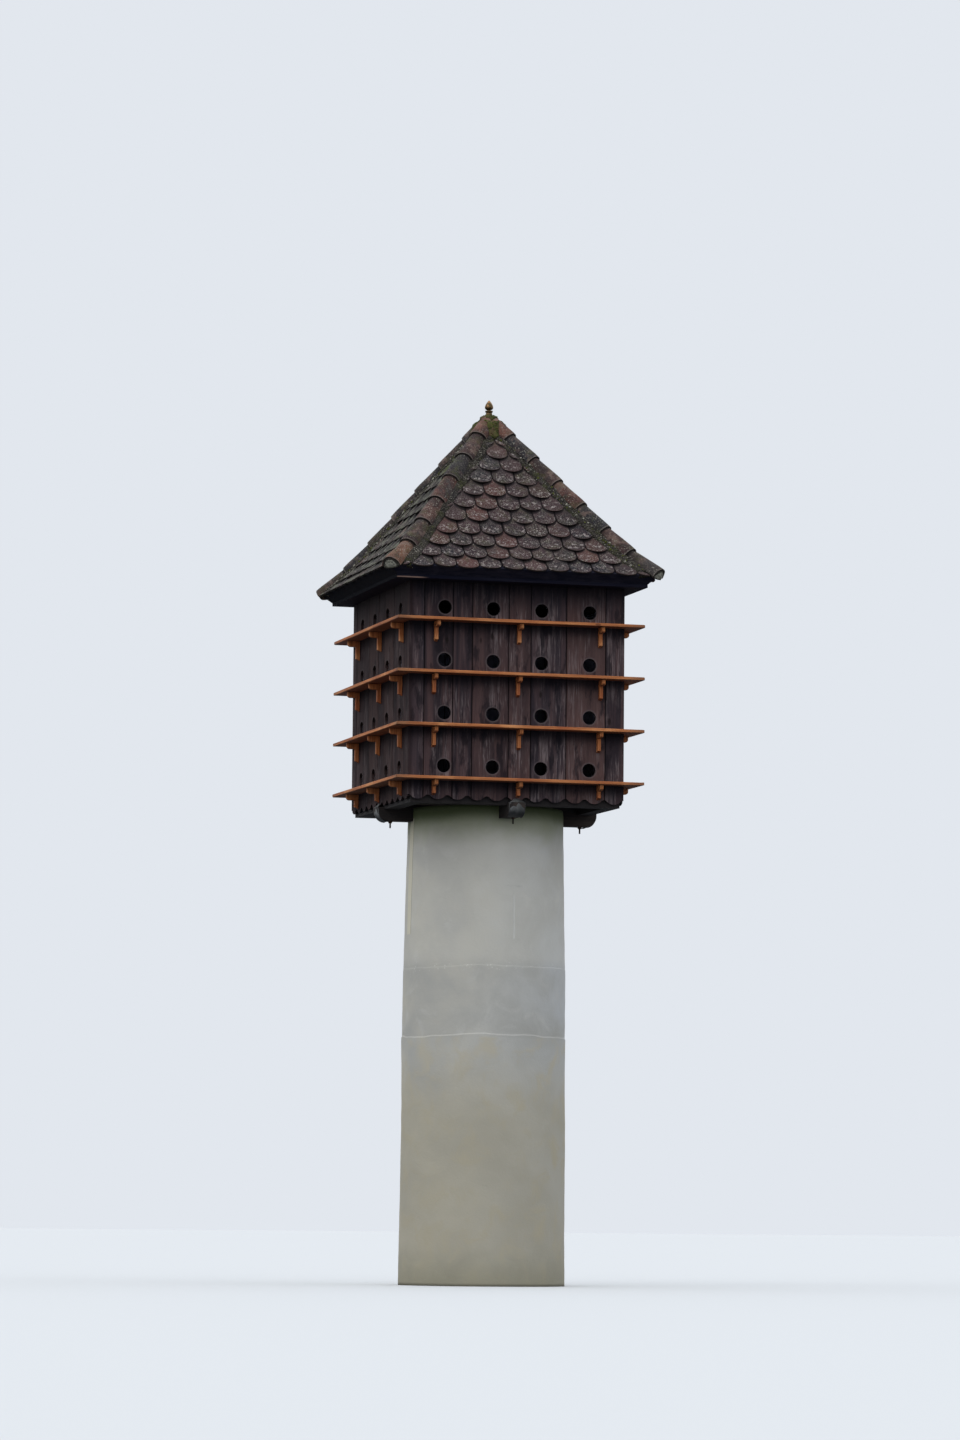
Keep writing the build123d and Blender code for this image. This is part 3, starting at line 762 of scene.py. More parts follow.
def board_floor(name, dark, pale):
    """Rough floor boards that lie front to back, with open joints and droppings."""
    finish, place = new_finish(name)
    board_width = 0.18
    lane = (place.axis(0) / board_width).maths("FLOOR")
    shift = place.node("ShaderNodeCombineXYZ", None, {0: lane * 3.7, 1: lane * 5.1, 2: 0.0})
    grain = place.moved(shift)
    joint = ((place.axis(0) / board_width).maths("FRACT") - 0.5).absolute()
    streaks = grain.fibres(60, 2.0, 5.0, 0.6, 0.4)
    stains = place.mottle(3.0, 5.0, 0.6)
    colour = layered(
        streaks.ramp(0.35, 0.65).blend(dark, pale),
        (stains.ramp(0.55, 0.72) * 0.6, tone(122, 116, 106)),
        (joint.ramp(0.485, 0.492), tone(18, 16, 15)),
    )
    return coat(finish, colour, 0.85, streaks - joint.ramp(0.48, 0.49), 0.002)


dress("bottom_floor", board_floor("bottom_boards", tone(52, 44, 40), tone(84, 73, 64)))
limewashed_boards = board_floor("limewashed_boards", tone(150, 154, 168), tone(196, 199, 210))
for node in ("second_floor", "third_floor", "fourth_floor"):
    dress(node, limewashed_boards)

soffit_low, soffit_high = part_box("eaves_soffit")
worn_edge_heights = (5.945, 5.952)
worn_edge_ends = (-0.86, -0.76)
eaves_board, place = new_finish("eaves_boards")
streaks = place.times(2.0, 60, 60).mottle(1.0, 5.0, 0.62, 0.4)
shadow = place.mottle(5.0, 5.0, 0.6)
edge_wear = 1 - place.axis(1).ramp(soffit_low.y + 0.004, soffit_low.y + 0.010)
edge_wear = edge_wear * (1 - (place.axis(2) + shadow * 0.012).ramp(*worn_edge_heights))
edge_wear = edge_wear * (1 - (place.axis(0) + streaks * 0.15).ramp(*worn_edge_ends))
eaves_colour = layered(
    streaks.ramp(0.36, 0.66).blend(tone(21, 22, 37), tone(34, 33, 45)),
    (shadow.ramp(0.55, 0.75) * 0.5, tone(32, 29, 32)),
    (edge_wear * 0.85, tone(148, 122, 112)),
    # Faces that look to the left are painted near-black: painted shade on that side.
    (facing_back(eaves_board, 0) * 0.8, tone(9, 10, 15)),
)
dress("eaves_soffit", coat(eaves_board, eaves_colour, 0.85, streaks, 0.0015, specular=0.08))


# The walls are upright softwood boards with open joints, stained dark and gone brown-grey, and
# limewashed inside. Their feet are sawn to scallops that drip clear of the sills, and four rows
# of round flight holes go through them, the rims scuffed pale by the birds.
box_half = 0.950
board_thickness = 0.027
frame_half = box_half - board_thickness
board_seams = (-0.819, -0.568, -0.398, -0.076, 0.120, 0.434, 0.783)
board_gap = 0.005
board_edge = 0.0018
board_out_of_true = 0.0016
tongue_half = 0.009
tongue_thickness = 0.006
tongue_edge = 0.0005
tongue_from_frame = 0.010
painted_shade_top_heights = (5.66, 5.98)
landing_below_hole = 0.127
left_face_out = (0.90, 0.94)
scallop_count = 11
scallop_depth = 0.037
scallop_lobe_half = 2 * box_half / scallop_count * 0.68 / 2
scallop_lobe_rise = 0.022
scallop_steps = 14
hole_radius = 0.057
hole_spacing = 0.427
hole_sides = 32
row_height = 0.449
row_count = 4
first_hole_height = 4.367
side_names = ("front", "right", "back", "left")
wall_low, wall_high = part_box("wall_front")


def board_foot(across):
    """Height of the scalloped lower edge: broad lobes with narrow round arches between."""
    pitch = 2 * box_half / scallop_count
    offset = abs((across + box_half) % pitch - pitch / 2)
    if offset <= scallop_lobe_half:
        radius = (scallop_lobe_half**2 + scallop_lobe_rise**2) / (2 * scallop_lobe_rise)
        return wall_low.z + radius - sqrt(radius**2 - offset**2)
    arch_half = pitch / 2 - scallop_lobe_half
    rise = scallop_depth - scallop_lobe_rise
    radius = (arch_half**2 + rise**2) / (2 * rise)
    return wall_low.z + scallop_depth - radius + sqrt(radius**2 - (pitch / 2 - offset) ** 2)


def flat_piece(outline, holes, thickness, edge):
    """A board sawn to an outline in x and y, with holes and eased edges, centred on z = 0."""
    curve = bpy.data.curves.new("board", "CURVE")
    curve.dimensions = "2D"
    curve.fill_mode = "BOTH"
    curve.extrude = thickness / 2 - edge
    curve.bevel_depth = edge
    curve.bevel_resolution = 0
    curve.offset = -edge
    for ring in [outline, *holes]:
        spline = curve.splines.new("POLY")
        spline.points.add(len(ring) - 1)
        for point, (x, y) in zip(spline.points, ring):
            point.co = (x, y, 0, 1)
        spline.use_cyclic_u = True
    blank = bpy.data.objects.new("board", curve)
    mesh = bpy.data.meshes.new_from_object(blank)
    bpy.data.objects.remove(blank)
    bpy.data.curves.remove(curve)
    merged = bmesh.new()
    merged.from_mesh(mesh)
    bmesh.ops.remove_doubles(merged, verts=merged.verts, dist=0.00005)
    merged.to_mesh(mesh)
    merged.free()
    return mesh


def side_place(angle, distance):
    """Place for a piece drawn with x along a wall, y up and z out of it."""
    turn = radians(angle)
    return Matrix((
        (cos(turn), 0, sin(turn), distance * sin(turn)),
        (sin(turn), 0, -cos(turn), -distance * cos(turn)),
        (0, 1, 0, 0),
        (0, 0, 0, 1),
    ))


def gather(name, parts, lie=1):
    """Join parts given as mesh, place and number, with their own grain along local axis lie."""
    joined = bmesh.new()
    spans = []
    for mesh, matrix, number in parts:
        first = len(joined.verts)
        joined.from_mesh(mesh)
        spans.append((first, len(joined.verts), matrix, number))
        bpy.data.meshes.remove(mesh)
    joined.verts.ensure_lookup_table()
    numbers = joined.verts.layers.float.new("number")
    grain = joined.loops.layers.uv.new("grain")
    for face in joined.faces:
        for loop in face.loops:
            x, y, z = loop.vert.co
            loop[grain].uv = (x + z, y) if lie else (y + z, x)
    for first, last, matrix, number in spans:
        for vert in joined.verts[first:last]:
            vert[numbers] = number
            vert.co = matrix @ vert.co
    return to_mesh(joined, name)


def numbered_grain(finish):
    """Vector of metres along a board, shifted by its number, and the number itself."""
    uv = finish.node_tree.nodes.new("ShaderNodeUVMap")
    uv.uv_map = "grain"
    own = finish.node_tree.nodes.new("ShaderNodeAttribute")
    own.attribute_name = "number"
    number = Wire(own.outputs["Fac"])
    flat = Wire(uv.outputs["UV"])
    shift = Wire(own.outputs["Vector"]).times(31.0, 17.0, 23.0)
    return flat, flat.moved(shift), number


dark_boards, place = new_finish("dark_boards")
flat, grain, number = numbered_grain(dark_boards)
fibres = grain.fibres(210, 5, 6.0, 0.7, 0.2)
streaks = grain.fibres(44, 1.1, 5.0, 0.62, 0.7)
bands = grain.fibres(12, 0.5, 3.0, 0.5, 0.9)
weather = grain.fibres(5, 1.2, 5.0, 0.6)
fine_bleach = grain.moved((2, 9, 4)).fibres(70, 4.5, 4.0, 0.6, 0.4)
own_tone = (number * 7.31).maths("FRACT")
bleached = (weather * 0.7 + fibres * 0.3).ramp(0.48, 0.62) * streaks.ramp(0.42, 0.62)
pale_fibres = fine_bleach.ramp(0.54, 0.64) * weather.ramp(0.4, 0.6)
dark_stains = grain.moved((7, 3, 1)).fibres(9, 2.4, 5.0, 0.65)
knot = grain.times(5.0, 2.1, 5.0).spots(1.0)
along_wall = flat.axis(0) - board_thickness / 2
from_hole = (along_wall / hole_spacing).maths("FRACT") - 0.5
above_hole = ((flat.axis(1) - first_hole_height) / row_height + 0.5).maths("FRACT") - 0.5
hole_distance = (from_hole * hole_spacing).square_to(above_hole * row_height)
scuff = 1 - (hole_distance + weather * 0.014).ramp(hole_radius + 0.012, hole_radius + 0.024)
# Painted shade: the jambs of the flight holes are darkened.
painted_shade_jamb = 1 - hole_distance.ramp(hole_radius + 0.0005, hole_radius + 0.0025)
from_seam = (along_wall - board_seams[0]).absolute()
for seam in board_seams[1:]:
    from_seam = from_seam.maths("MINIMUM", (along_wall - seam).absolute())
seam_dirt = 1 - (from_seam + weather * 0.008).ramp(0.006, 0.013)
# Painted shade: the boards grow bluish-dark towards the eaves.
painted_shade_under_eaves = (flat.axis(1) + weather * 0.12).ramp(*painted_shade_top_heights)
# Painted shadow: a dark band on the boards just below each landing board.
above_landing = ((flat.axis(1) - first_hole_height + landing_below_hole) / row_height + 1).maths("FRACT")
painted_shadow_below_landing = (above_landing + dark_stains * 0.2).ramp(0.82, 1.06)
# Painted shade: the left wall is darkened.
painted_shade_left_wall = (place.axis(0) * -1).ramp(*left_face_out)
# Painted shade: faces that look down, such as the scalloped feet and the tops of the holes, are darkened
# nearly to black.
painted_shade_facing_down = facing_back(dark_boards, 2, 0.2, 0.5)
reach_out = place.axis(0).absolute().maths("MAXIMUM", place.axis(1).absolute())
inside = 1 - reach_out.ramp(frame_half + 0.0005, frame_half + 0.0015)
# The tongues behind the open joints are painted near-black: painted shade for the gaps between the boards.
tongues_painted_shade = 1 - number.ramp(-0.6, -0.4)
board_colour = layered(
    bands.ramp(0.38, 0.62).blend(tone(48, 40, 45), tone(80, 63, 64)),
    (own_tone.ramp(0.55, 1.0) * 0.6, tone(90, 69, 66)),
    ((1 - own_tone.ramp(0.0, 0.45)) * 0.5, tone(56, 52, 60)),
    (bleached * 0.85, tone(124, 112, 113)),
    (pale_fibres * 0.6, tone(132, 120, 121)),
    ((1 - fibres.ramp(0.3, 0.45)) * 0.5, tone(30, 26, 29)),
    (dark_stains.ramp(0.52, 0.62) * 0.75, tone(28, 24, 30)),
    ((1 - knot.ramp(0.04, 0.09)) * 0.8, tone(28, 22, 21)),
    (scuff * 0.5, tone(96, 90, 92)),
    (painted_shade_jamb * 0.85, tone(16, 13, 14)),
    (seam_dirt * 0.7, tone(15, 13, 17)),
    (painted_shade_under_eaves * 0.85, tone(15, 15, 24)),
    (painted_shadow_below_landing * 0.75, tone(18, 17, 26)),
    (painted_shade_left_wall * 0.55, tone(30, 17, 17)),
    (painted_shade_facing_down * 0.85, tone(12, 10, 11)),
    (inside, tone(168, 171, 184)),
    (tongues_painted_shade, tone(9, 8, 9)),
)
board_relief = fibres * 0.5 + streaks * 0.5 - (1 - knot.ramp(0.04, 0.08)) * 0.5
coat(dark_boards, board_colour, streaks * 0.2 + 0.7, board_relief, 0.0022, specular=0.12)

draw = random.Random(11)
for angle, side in zip(range(0, 360, 90), side_names):
    wall_half = box_half if angle % 180 == 0 else frame_half
    edges = [-wall_half - board_gap / 2, *board_seams, wall_half + board_gap / 2]
    parts = []
    for left, right in zip(edges[:-1], edges[1:]):
        left, right = left + board_gap / 2, right - board_gap / 2
        count = max(2, round((right - left) / (2 * box_half / scallop_count) * scallop_steps))
        foot = [left + (right - left) * step / count for step in range(count + 1)]
        outline = [(across, board_foot(across)) for across in foot]
        outline += [(right, wall_high.z), (left, wall_high.z)]
        holes = []
        for hole in range(4):
            centre = hole_spacing * (hole - 1.5)
            if left < centre < right:
                holes += [
                    [
                        (centre + hole_radius * cos(2 * pi * step / hole_sides),
                         first_hole_height + row_height * row
                         + hole_radius * sin(2 * pi * step / hole_sides))
                        for step in range(hole_sides)
                    ]
                    for row in range(row_count)
                ]
        slip = draw.uniform(-board_out_of_true, 0)
        board = flat_piece(outline, holes, board_thickness, board_edge)
        parts.append((board, side_place(angle, frame_half + board_thickness / 2 + slip), draw.random()))
    for seam in board_seams:
        left, right, foot = seam - tongue_half, seam + tongue_half, wall_low.z + scallop_depth
        outline = [(left, foot), (right, foot), (right, wall_high.z), (left, wall_high.z)]
        tongue = flat_piece(outline, [], tongue_thickness, tongue_edge)
        parts.append((tongue, side_place(angle, frame_half + tongue_from_frame), -1))
    name = f"board_wall_{side}"
    new_piece(
        name, gather(name, parts), dark_boards, slot="dark_boards", replaces=[f"wall_{side}"]
    )


# A landing board runs round the box under each row of holes, four lengths mitred at the corners.
# Larch under an orange-brown glaze that has faded unevenly, greyer at the tips.
landing_gap = 0.002
landing_edge = 0.003
landing_warp = 0.0022
landing_step = 0.07
landing_tip_reach = (1.44, 1.60)

stained_larch, place = new_finish("stained_larch")
flat, grain, number = numbered_grain(stained_larch)
fibres = grain.fibres(190, 6, 5.0, 0.65, 0.2)
streaks = grain.fibres(50, 1.6, 5.0, 0.6, 0.6)
fading = grain.fibres(6, 2.2, 4.0, 0.6)
from_axis = place.times(1, 1, 0).length()
tips = (from_axis + fading * 0.1).ramp(*landing_tip_reach)
knot = grain.times(6.5, 3.0, 6.5).spots(1.0)
larch_colour = layered(
    streaks.ramp(0.35, 0.68).blend(tone(150, 87, 50), tone(200, 128, 78)),
    (fading.ramp(0.5, 0.68) * 0.7, tone(224, 158, 104)),
    ((1 - fading.ramp(0.32, 0.46)) * 0.6, tone(142, 68, 40)),
    ((1 - number.ramp(0.1, 0.5)) * 0.3, tone(168, 104, 64)),
    ((1 - fibres.ramp(0.3, 0.44)) * 0.4, tone(104, 56, 32)),
    (tips * 0.6, tone(112, 84, 66)),
    ((1 - knot.ramp(0.05, 0.1)) * 0.7, tone(82, 42, 26)),
    # Faces that look down are darkened: painted shade, with some dirt.
    (facing_back(stained_larch, 2) * 0.7, tone(70, 38, 28)),
)
coat(
    stained_larch, larch_colour, streaks * 0.2 + 0.55, fibres * 0.5 + streaks * 0.5, 0.0012,
    specular=0.2,
)

for row in range(row_count):
    landing_low, landing_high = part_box(f"landing_boards_row_{row + 1}")
    reach = landing_high.x
    thickness = landing_high.z - landing_low.z
    parts = []
    for angle in range(0, 360, 90):
        inner = [(-box_half + landing_gap, box_half), (box_half - landing_gap, box_half)]
        outer = [(-reach + landing_gap, reach), (reach - landing_gap, reach)]
        outline = []
        for start, end in ((outer[0], outer[1]), (inner[1], inner[0])):
            steps = max(1, int(abs(end[0] - start[0]) / landing_step))
            outline += [
                (start[0] + (end[0] - start[0]) * step / steps, -start[1])
                for step in range(steps + 1)
            ]
        board = flat_piece(outline, [], thickness - 2 * landing_warp, landing_edge)
        seed = row * 4 + angle / 90
        for vert in board.vertices:
            wave = rough(vert.co.x * 1.2, seed * 3.3, 0.5, 1.0)
            twist = rough(vert.co.x * 0.8, seed * 2.1, 4.5, 1.0) * (-vert.co.y - box_half) / 0.14
            vert.co.z += landing_warp * max(-1, min(1, wave + 0.8 * twist))
        place_board = Matrix.Rotation(radians(angle), 4, "Z")
        place_board.translation.z = (landing_low.z + landing_high.z) / 2
        parts.append((board, place_board, draw.random()))
    name = f"landing_board_ring_{row + 1}"
    new_piece(
        name, gather(name, parts, lie=0), stained_larch, slot="stained_larch",
        replaces=[f"landing_boards_row_{row + 1}"],
    )


# Three brackets on each side hold a landing board: an arm with a rounded end under the board,
# and a leg down the wall, sawn from one larch plank. The bottom row's legs are cut short.
bracket_width = 0.030
bracket_edge = 0.002
bracket_spacing = 0.727
bracket_arm_length = 0.108
bracket_arm_depth = 0.050
bracket_arm_round = 0.026
bracket_leg_depth = 0.035
bracket_foot_slant = 0.016
bracket_corner = ((0.008, 0), (0.002, 0.003), (0, 0.010))
bracket_round_steps = 6
bracket_wobble = 0.15
for row in range(row_count):
    bracket_low, bracket_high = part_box(f"brackets_row_{row + 1}")
    top, bottom = bracket_high.z, bracket_low.z
    arm_end = box_half + bracket_arm_length
    arm_bottom = top - bracket_arm_depth
    outline = [(box_half, top), (arm_end, top)]
    for step in range(bracket_round_steps + 1):
        angle = pi / 2 * step / bracket_round_steps
        outline.append((
            arm_end - bracket_arm_round * (1 - cos(angle)),
            arm_bottom + bracket_arm_round * (1 - sin(angle)),
        ))
    leg_front = box_half + bracket_leg_depth
    outline += [(leg_front + out, arm_bottom - down) for out, down in bracket_corner]
    outline += [(leg_front, bottom + bracket_foot_slant), (box_half, bottom)]
    bracket = flat_piece(list(reversed(outline)), [], bracket_width, bracket_edge)
    upright = Matrix(((0, 0, 1, 0), (-1, 0, 0, 0), (0, 1, 0, 0), (0, 0, 0, 1)))
    pattern = gather("bracket", [(bracket, upright, 0.5)])
    name = f"larch_brackets_row_{row + 1}"
    brackets = set_round(
        name, pattern, stained_larch, 20 + row, along=3, spacing=bracket_spacing, wobble=bracket_wobble
    )
    new_piece(name, brackets, slot="stained_larch", replaces=[f"brackets_row_{row + 1}"])


# The roof is a steep pyramid that flattens towards the eaves. Under the tiles lies a closed deck,
# boarded on the slope between the tile edge and the boxed eaves.
eaves_half = 1.225
eaves_height = 6.020
eaves_pitch = radians(40)
roof_pitch = radians(52.5)
sprocket_length = 0.520
sprocket_radius = sprocket_length / (roof_pitch - eaves_pitch)
tile_exposure = 0.157
tile_thickness = 0.015
eaves_tile_overhang = 0.040
deck_depth = 0.032
deck_steps = 12
deck_below_tip = 0.06
slope_length = sprocket_length + (
    eaves_half - sprocket_radius * (sin(roof_pitch) - sin(eaves_pitch))
) / cos(roof_pitch)


def roof_point(length, depth=0.0):
    """Distance out and height at a length up from the eaves, sunk by depth square to the roof."""
    bent = min(length, sprocket_length)
    angle = eaves_pitch + bent / sprocket_radius
    out = eaves_half - sprocket_radius * (sin(angle) - sin(eaves_pitch))
    height = eaves_height + sprocket_radius * (cos(eaves_pitch) - cos(angle))
    out -= (length - bent) * cos(angle)
    height += (length - bent) * sin(angle)
    return out - depth * sin(angle), height - depth * cos(angle)


deck_profile = [(soffit_high.x * sqrt(2), soffit_high.z)]
deck_profile += [
    (out * sqrt(2), height)
    for out, height in (
        roof_point(eaves_tile_overhang, 2 * tile_thickness),
        roof_point(eaves_tile_overhang, 1.3 * tile_thickness),
    )
]
deck_length = slope_length - deck_below_tip - eaves_tile_overhang
for step in range(1, deck_steps + 1):
    out, height = roof_point(eaves_tile_overhang + deck_length * step / deck_steps, deck_depth)
    deck_profile.append((out * sqrt(2), height))
deck_profile.append((0, roof_point(slope_length)[1] - deck_depth / cos(roof_pitch)))
deck = lathe(deck_profile, 4)
bmesh.ops.rotate(deck, verts=deck.verts, matrix=Matrix.Rotation(pi / 4, 3, "Z"))
roof_deck = to_mesh(deck, "roof_deck")
deck_finish, place = new_finish("roof_deck")
streaks = place.times(8, 8, 40).mottle(1.0, 5.0, 0.6, 0.4)
deck_colour = streaks.ramp(0.35, 0.68).blend(tone(24, 25, 38), tone(40, 39, 50))
# Faces of the deck that look to the left are painted near-black: painted shade on that side.
deck_colour = (facing_back(deck_finish, 0) * 0.8).blend(deck_colour, tone(9, 10, 14))
coat(deck_finish, deck_colour, 0.88, streaks, 0.002, specular=0.08)


# Four slopes of beaver-tail tiles hang in double courses, each with a rounded tail and half a
# tile's offset from the course below. Handmade clay, brown and purple, with lichen and soot.
# The tiles by the hips are cut to the line of the mortar.
tile_width = 0.196
tile_spacing = 0.199
tile_length = 0.300
tile_tail = 0.090
tile_camber = 0.008
tile_columns = 12
tile_edge = 0.0025
tile_cut = 0.100
tile_cut_reach = 0.05
tile_stop = 0.20
tile_slip = 0.007
tile_turn = 0.027
tile_side_out = (0.091, 0.098)
upper_left_heights = (6.7, 7.9)
left_moss_heights = (6.90, 7.10)


def skin(shape, lower, upper, closed=False):
    """Faces between two rows of points, and from the last to the first if the rows are closed."""
    for column in range(len(lower) if closed else len(lower) - 1):
        after = (column + 1) % len(lower)
        shape.faces.new((lower[column], lower[after], upper[after], upper[column]))


def cut_off(shape, point, outward):
    """Cut away what lies past a plane, and close the cut."""
    sliced = bmesh.ops.bisect_plane(
        shape, geom=shape.verts[:] + shape.edges[:] + shape.faces[:],
        plane_co=point, plane_no=outward, clear_outer=True,
    )
    edges = [part for part in sliced["geom_cut"] if isinstance(part, bmesh.types.BMEdge)]
    bmesh.ops.holes_fill(shape, edges=edges, sides=0)


tile_shape = bmesh.new()
tile_rows = []
for share in (0.0, 0.05, 0.45, 1.0):
    row = []
    for column in range(tile_columns + 1):
        turn = pi * (column / tile_columns - 0.5)
        tail = tile_tail * (1 - cos(turn))
        along = tail + (tile_length - tail) * share
        edge = tile_edge if share == 0 or column in (0, tile_columns) else 0
        row.append((sin(turn) * tile_width / 2, along, tile_camber * cos(turn) ** 2 - edge))
    tile_rows.append(row)
tops = [[tile_shape.verts.new(point) for point in row] for row in tile_rows]
unders = [
    [tile_shape.verts.new((x, y, z - tile_thickness + tile_edge)) for x, y, z in row]
    for row in (tile_rows[0], tile_rows[-1])
]
tile_bands = [(tops[row], tops[row + 1]) for row in range(3)]
tile_bands += [(unders[0], tops[0]), (tops[-1], unders[1]), (unders[1], unders[0])]
for lower, upper in tile_bands:
    skin(tile_shape, lower, upper)
for column in (0, tile_columns):
    tile_shape.faces.new([row[column] for row in tops] + [unders[1][column], unders[0][column]])
bmesh.ops.recalc_face_normals(tile_shape, faces=tile_shape.faces)
lie_uv = tile_shape.loops.layers.uv.new("grain")
for face in tile_shape.faces:
    for loop in face.loops:
        loop[lie_uv].uv = loop.vert.co.xy
tile_pattern = bpy.data.objects.new("beaver_tail_tile", to_mesh(tile_shape, "beaver_tail_tile"))

# Hangs a tile at each point of a carrier mesh, square to its facing and with its head along its
# rise, each slipped, turned and tilted a little and with a number of its own.
tile_tree, size = new_tree("hang_tiles", {
    "Tile": "Object", "Slip": "Float", "Turn": "Float", "Seed": "Int",
})
carrier = size["Geometry"]
pattern = carrier.node("GeometryNodeObjectInfo", {"transform_space": "ORIGINAL"}, {0: size["Tile"]})
pattern = Wire(pattern.socket.node.outputs["Geometry"])


def stored(wire, name):
    """A vector that the carrier mesh holds by name."""
    return wire.node("GeometryNodeInputNamedAttribute", {"data_type": "FLOAT_VECTOR"}, {0: name})


facing = stored(carrier, "facing")
rise = stored(carrier, "rise")
tilt = carrier.node(
    "ShaderNodeVectorMath", {"operation": "SCALE"},
    {0: dice(carrier, (-1, -1, -1), (1, 1, 1), size["Seed"], "FLOAT_VECTOR"), "Scale": size["Turn"]},
)
upright = carrier.node(
    "FunctionNodeAxesToRotation", {"primary_axis": "Z", "secondary_axis": "Y"},
    {0: facing.moved(tilt), 1: rise.moved(tilt)},
)
slipped = carrier.node(
    "ShaderNodeVectorMath", {"operation": "SCALE"},
    {0: rise, "Scale": size["Slip"] * dice(carrier, -1.0, 1.0, size["Seed"] + 1)},
)
hung = carrier.node("GeometryNodeSetPosition", None, {"Geometry": carrier, "Offset": slipped})
hung = copies_at(hung, pattern, upright, dice(hung, 0.0, 1.0, size["Seed"] + 2))
close_tree(tile_tree, hung, size["Finish"])


def own_number(finish):
    """The number that each copy of a repeated piece holds."""
    own = finish.node_tree.nodes.new("ShaderNodeAttribute")
    own.attribute_name = "number"
    return Wire(own.outputs["Fac"])


def weathered(colour, place, lichen, moss, soot):
    """Soot, moss and specks of lichen over clay or mortar, and the relief that they make."""
    grit = place.mottle(110.0, 5.0, 0.7)
    patches = place.mottle(5.0, 5.0, 0.62, 0.5)
    growth = (place.moved((8, 3, 2)).mottle(9.0, 6.0, 0.68, 0.3) * 0.8 + grit * 0.2).ramp(0.5, 0.62)
    crowd = place.moved((2, 7, 1)).mottle(6.0, 4.0).ramp(0.42, 0.62)
    dots = place.moved((5, 1, 9)).spots(52.0) + grit * 0.35
    fine = place.moved((1, 6, 3)).spots(120.0) + grit * 0.35
    crust = (1 - dots.ramp(0.36, 0.46)) * crowd + (1 - fine.ramp(0.38, 0.5)) * 0.5
    colour = layered(
        colour,
        (patches.ramp(0.48, 0.68) * soot, tone(52, 49, 50)),
        (growth * moss, tone(70, 72, 44)),
        (crust * lichen, tone(160, 155, 143)),
    )
    return colour, grit * 0.5 + crust * 0.4 + growth * moss * 1.2


roof_clay, place = new_finish("roof_tiles")
flat, grain, number = numbered_grain(roof_clay)
tile_tone = place.node("ShaderNodeValToRGB", {"stops": [
    (0.0, tone(40, 33, 37)), (1.0, tone(31, 29, 35)), (0.20, tone(51, 40, 43)),
    (0.42, tone(59, 45, 47)), (0.60, tone(80, 52, 49)), (0.70, tone(50, 42, 41)),
    (0.86, tone(33, 31, 39)),
]}, {0: number})
across = flat.axis(0)
along = flat.axis(1)


def tail_height(offset):
    """How far up its rounded tail reaches at an offset from the middle of a tile."""
    share = offset * (2 / tile_width)
    return (1 - (1 - share * share).maths("MAXIMUM", 0.0).maths("SQRT")) * tile_tail


above_tail = along - tail_height(across)
below_next = tail_height(across.absolute() - tile_spacing / 2) + tile_exposure - along
blotch = grain.mottle(14.0, 5.0, 0.62)
rubbed = (1 - (above_tail + blotch * 0.014).ramp(0.008, 0.020)) * 0.3
bloom_zone = along.ramp(0.01, 0.04) * (1 - along.ramp(0.07, 0.15))
bloom = grain.moved((6, 2, 4)).mottle(34.0, 6.0, 0.75, 0.4).ramp(0.54, 0.61) * bloom_zone
upper_left = (place.axis(2) - place.axis(0) * 0.8).ramp(*upper_left_heights)
clay_colour = layered(
    (blotch.ramp(0.4, 0.62) * 0.45).blend(tile_tone, tone(75, 57, 59)),
    (rubbed, tone(112, 90, 86)),
    (bloom * 0.95, tone(158, 148, 145)),
    (upper_left * 0.35, tone(96, 93, 86)),
)
clay_colour, clay_relief = weathered(clay_colour, place, lichen=0.75, moss=0.25, soot=0.55)
left_slope = (1 - (place.axis(0) - place.axis(1)).ramp(-0.05, 0.05)) * (
    1 - (place.axis(0) + place.axis(1)).ramp(-0.05, 0.05)
)
left_moss = place.axis(2).ramp(*left_moss_heights)
left_moss = left_moss * place.moved((1, 9, 5)).mottle(12.0, 5.0).ramp(0.42, 0.55)
left_lichen = left_slope * place.moved((4, 4, 9)).mottle(11.0, 5.0, 0.65).ramp(0.48, 0.62)
# Painted shadow: a dark crescent on each tile just below the tails of the course above, wider on the left
# slope.
painted_shadow_below_tails = 1 - (below_next + blotch * 0.012 - left_slope * 0.010).ramp(0.015, 0.044)
beside = across.absolute() + blotch * 0.006
# Painted shade: the edge of each tile's tail is darkened nearly to black.
painted_shade_tail_edge = (1 - above_tail.ramp(0.0008, 0.0024)) * 0.9
clay_colour = layered(
    clay_colour,
    (left_slope * blotch.ramp(0.35, 0.62) * 0.75, tone(38, 38, 34)),
    (left_slope * left_moss * 0.75, tone(68, 76, 34)),
    (left_lichen * 0.6, tone(108, 110, 96)),
    (painted_shadow_below_tails * 0.85, tone(17, 14, 17)),
    (beside.ramp(*tile_side_out) * 0.85, tone(20, 16, 18)),
    (painted_shade_tail_edge, tone(20, 17, 18)),
)
coat(roof_clay, clay_colour, blotch * 0.2 + 0.78, clay_relief + blotch * 0.5, 0.003, specular=0.12)

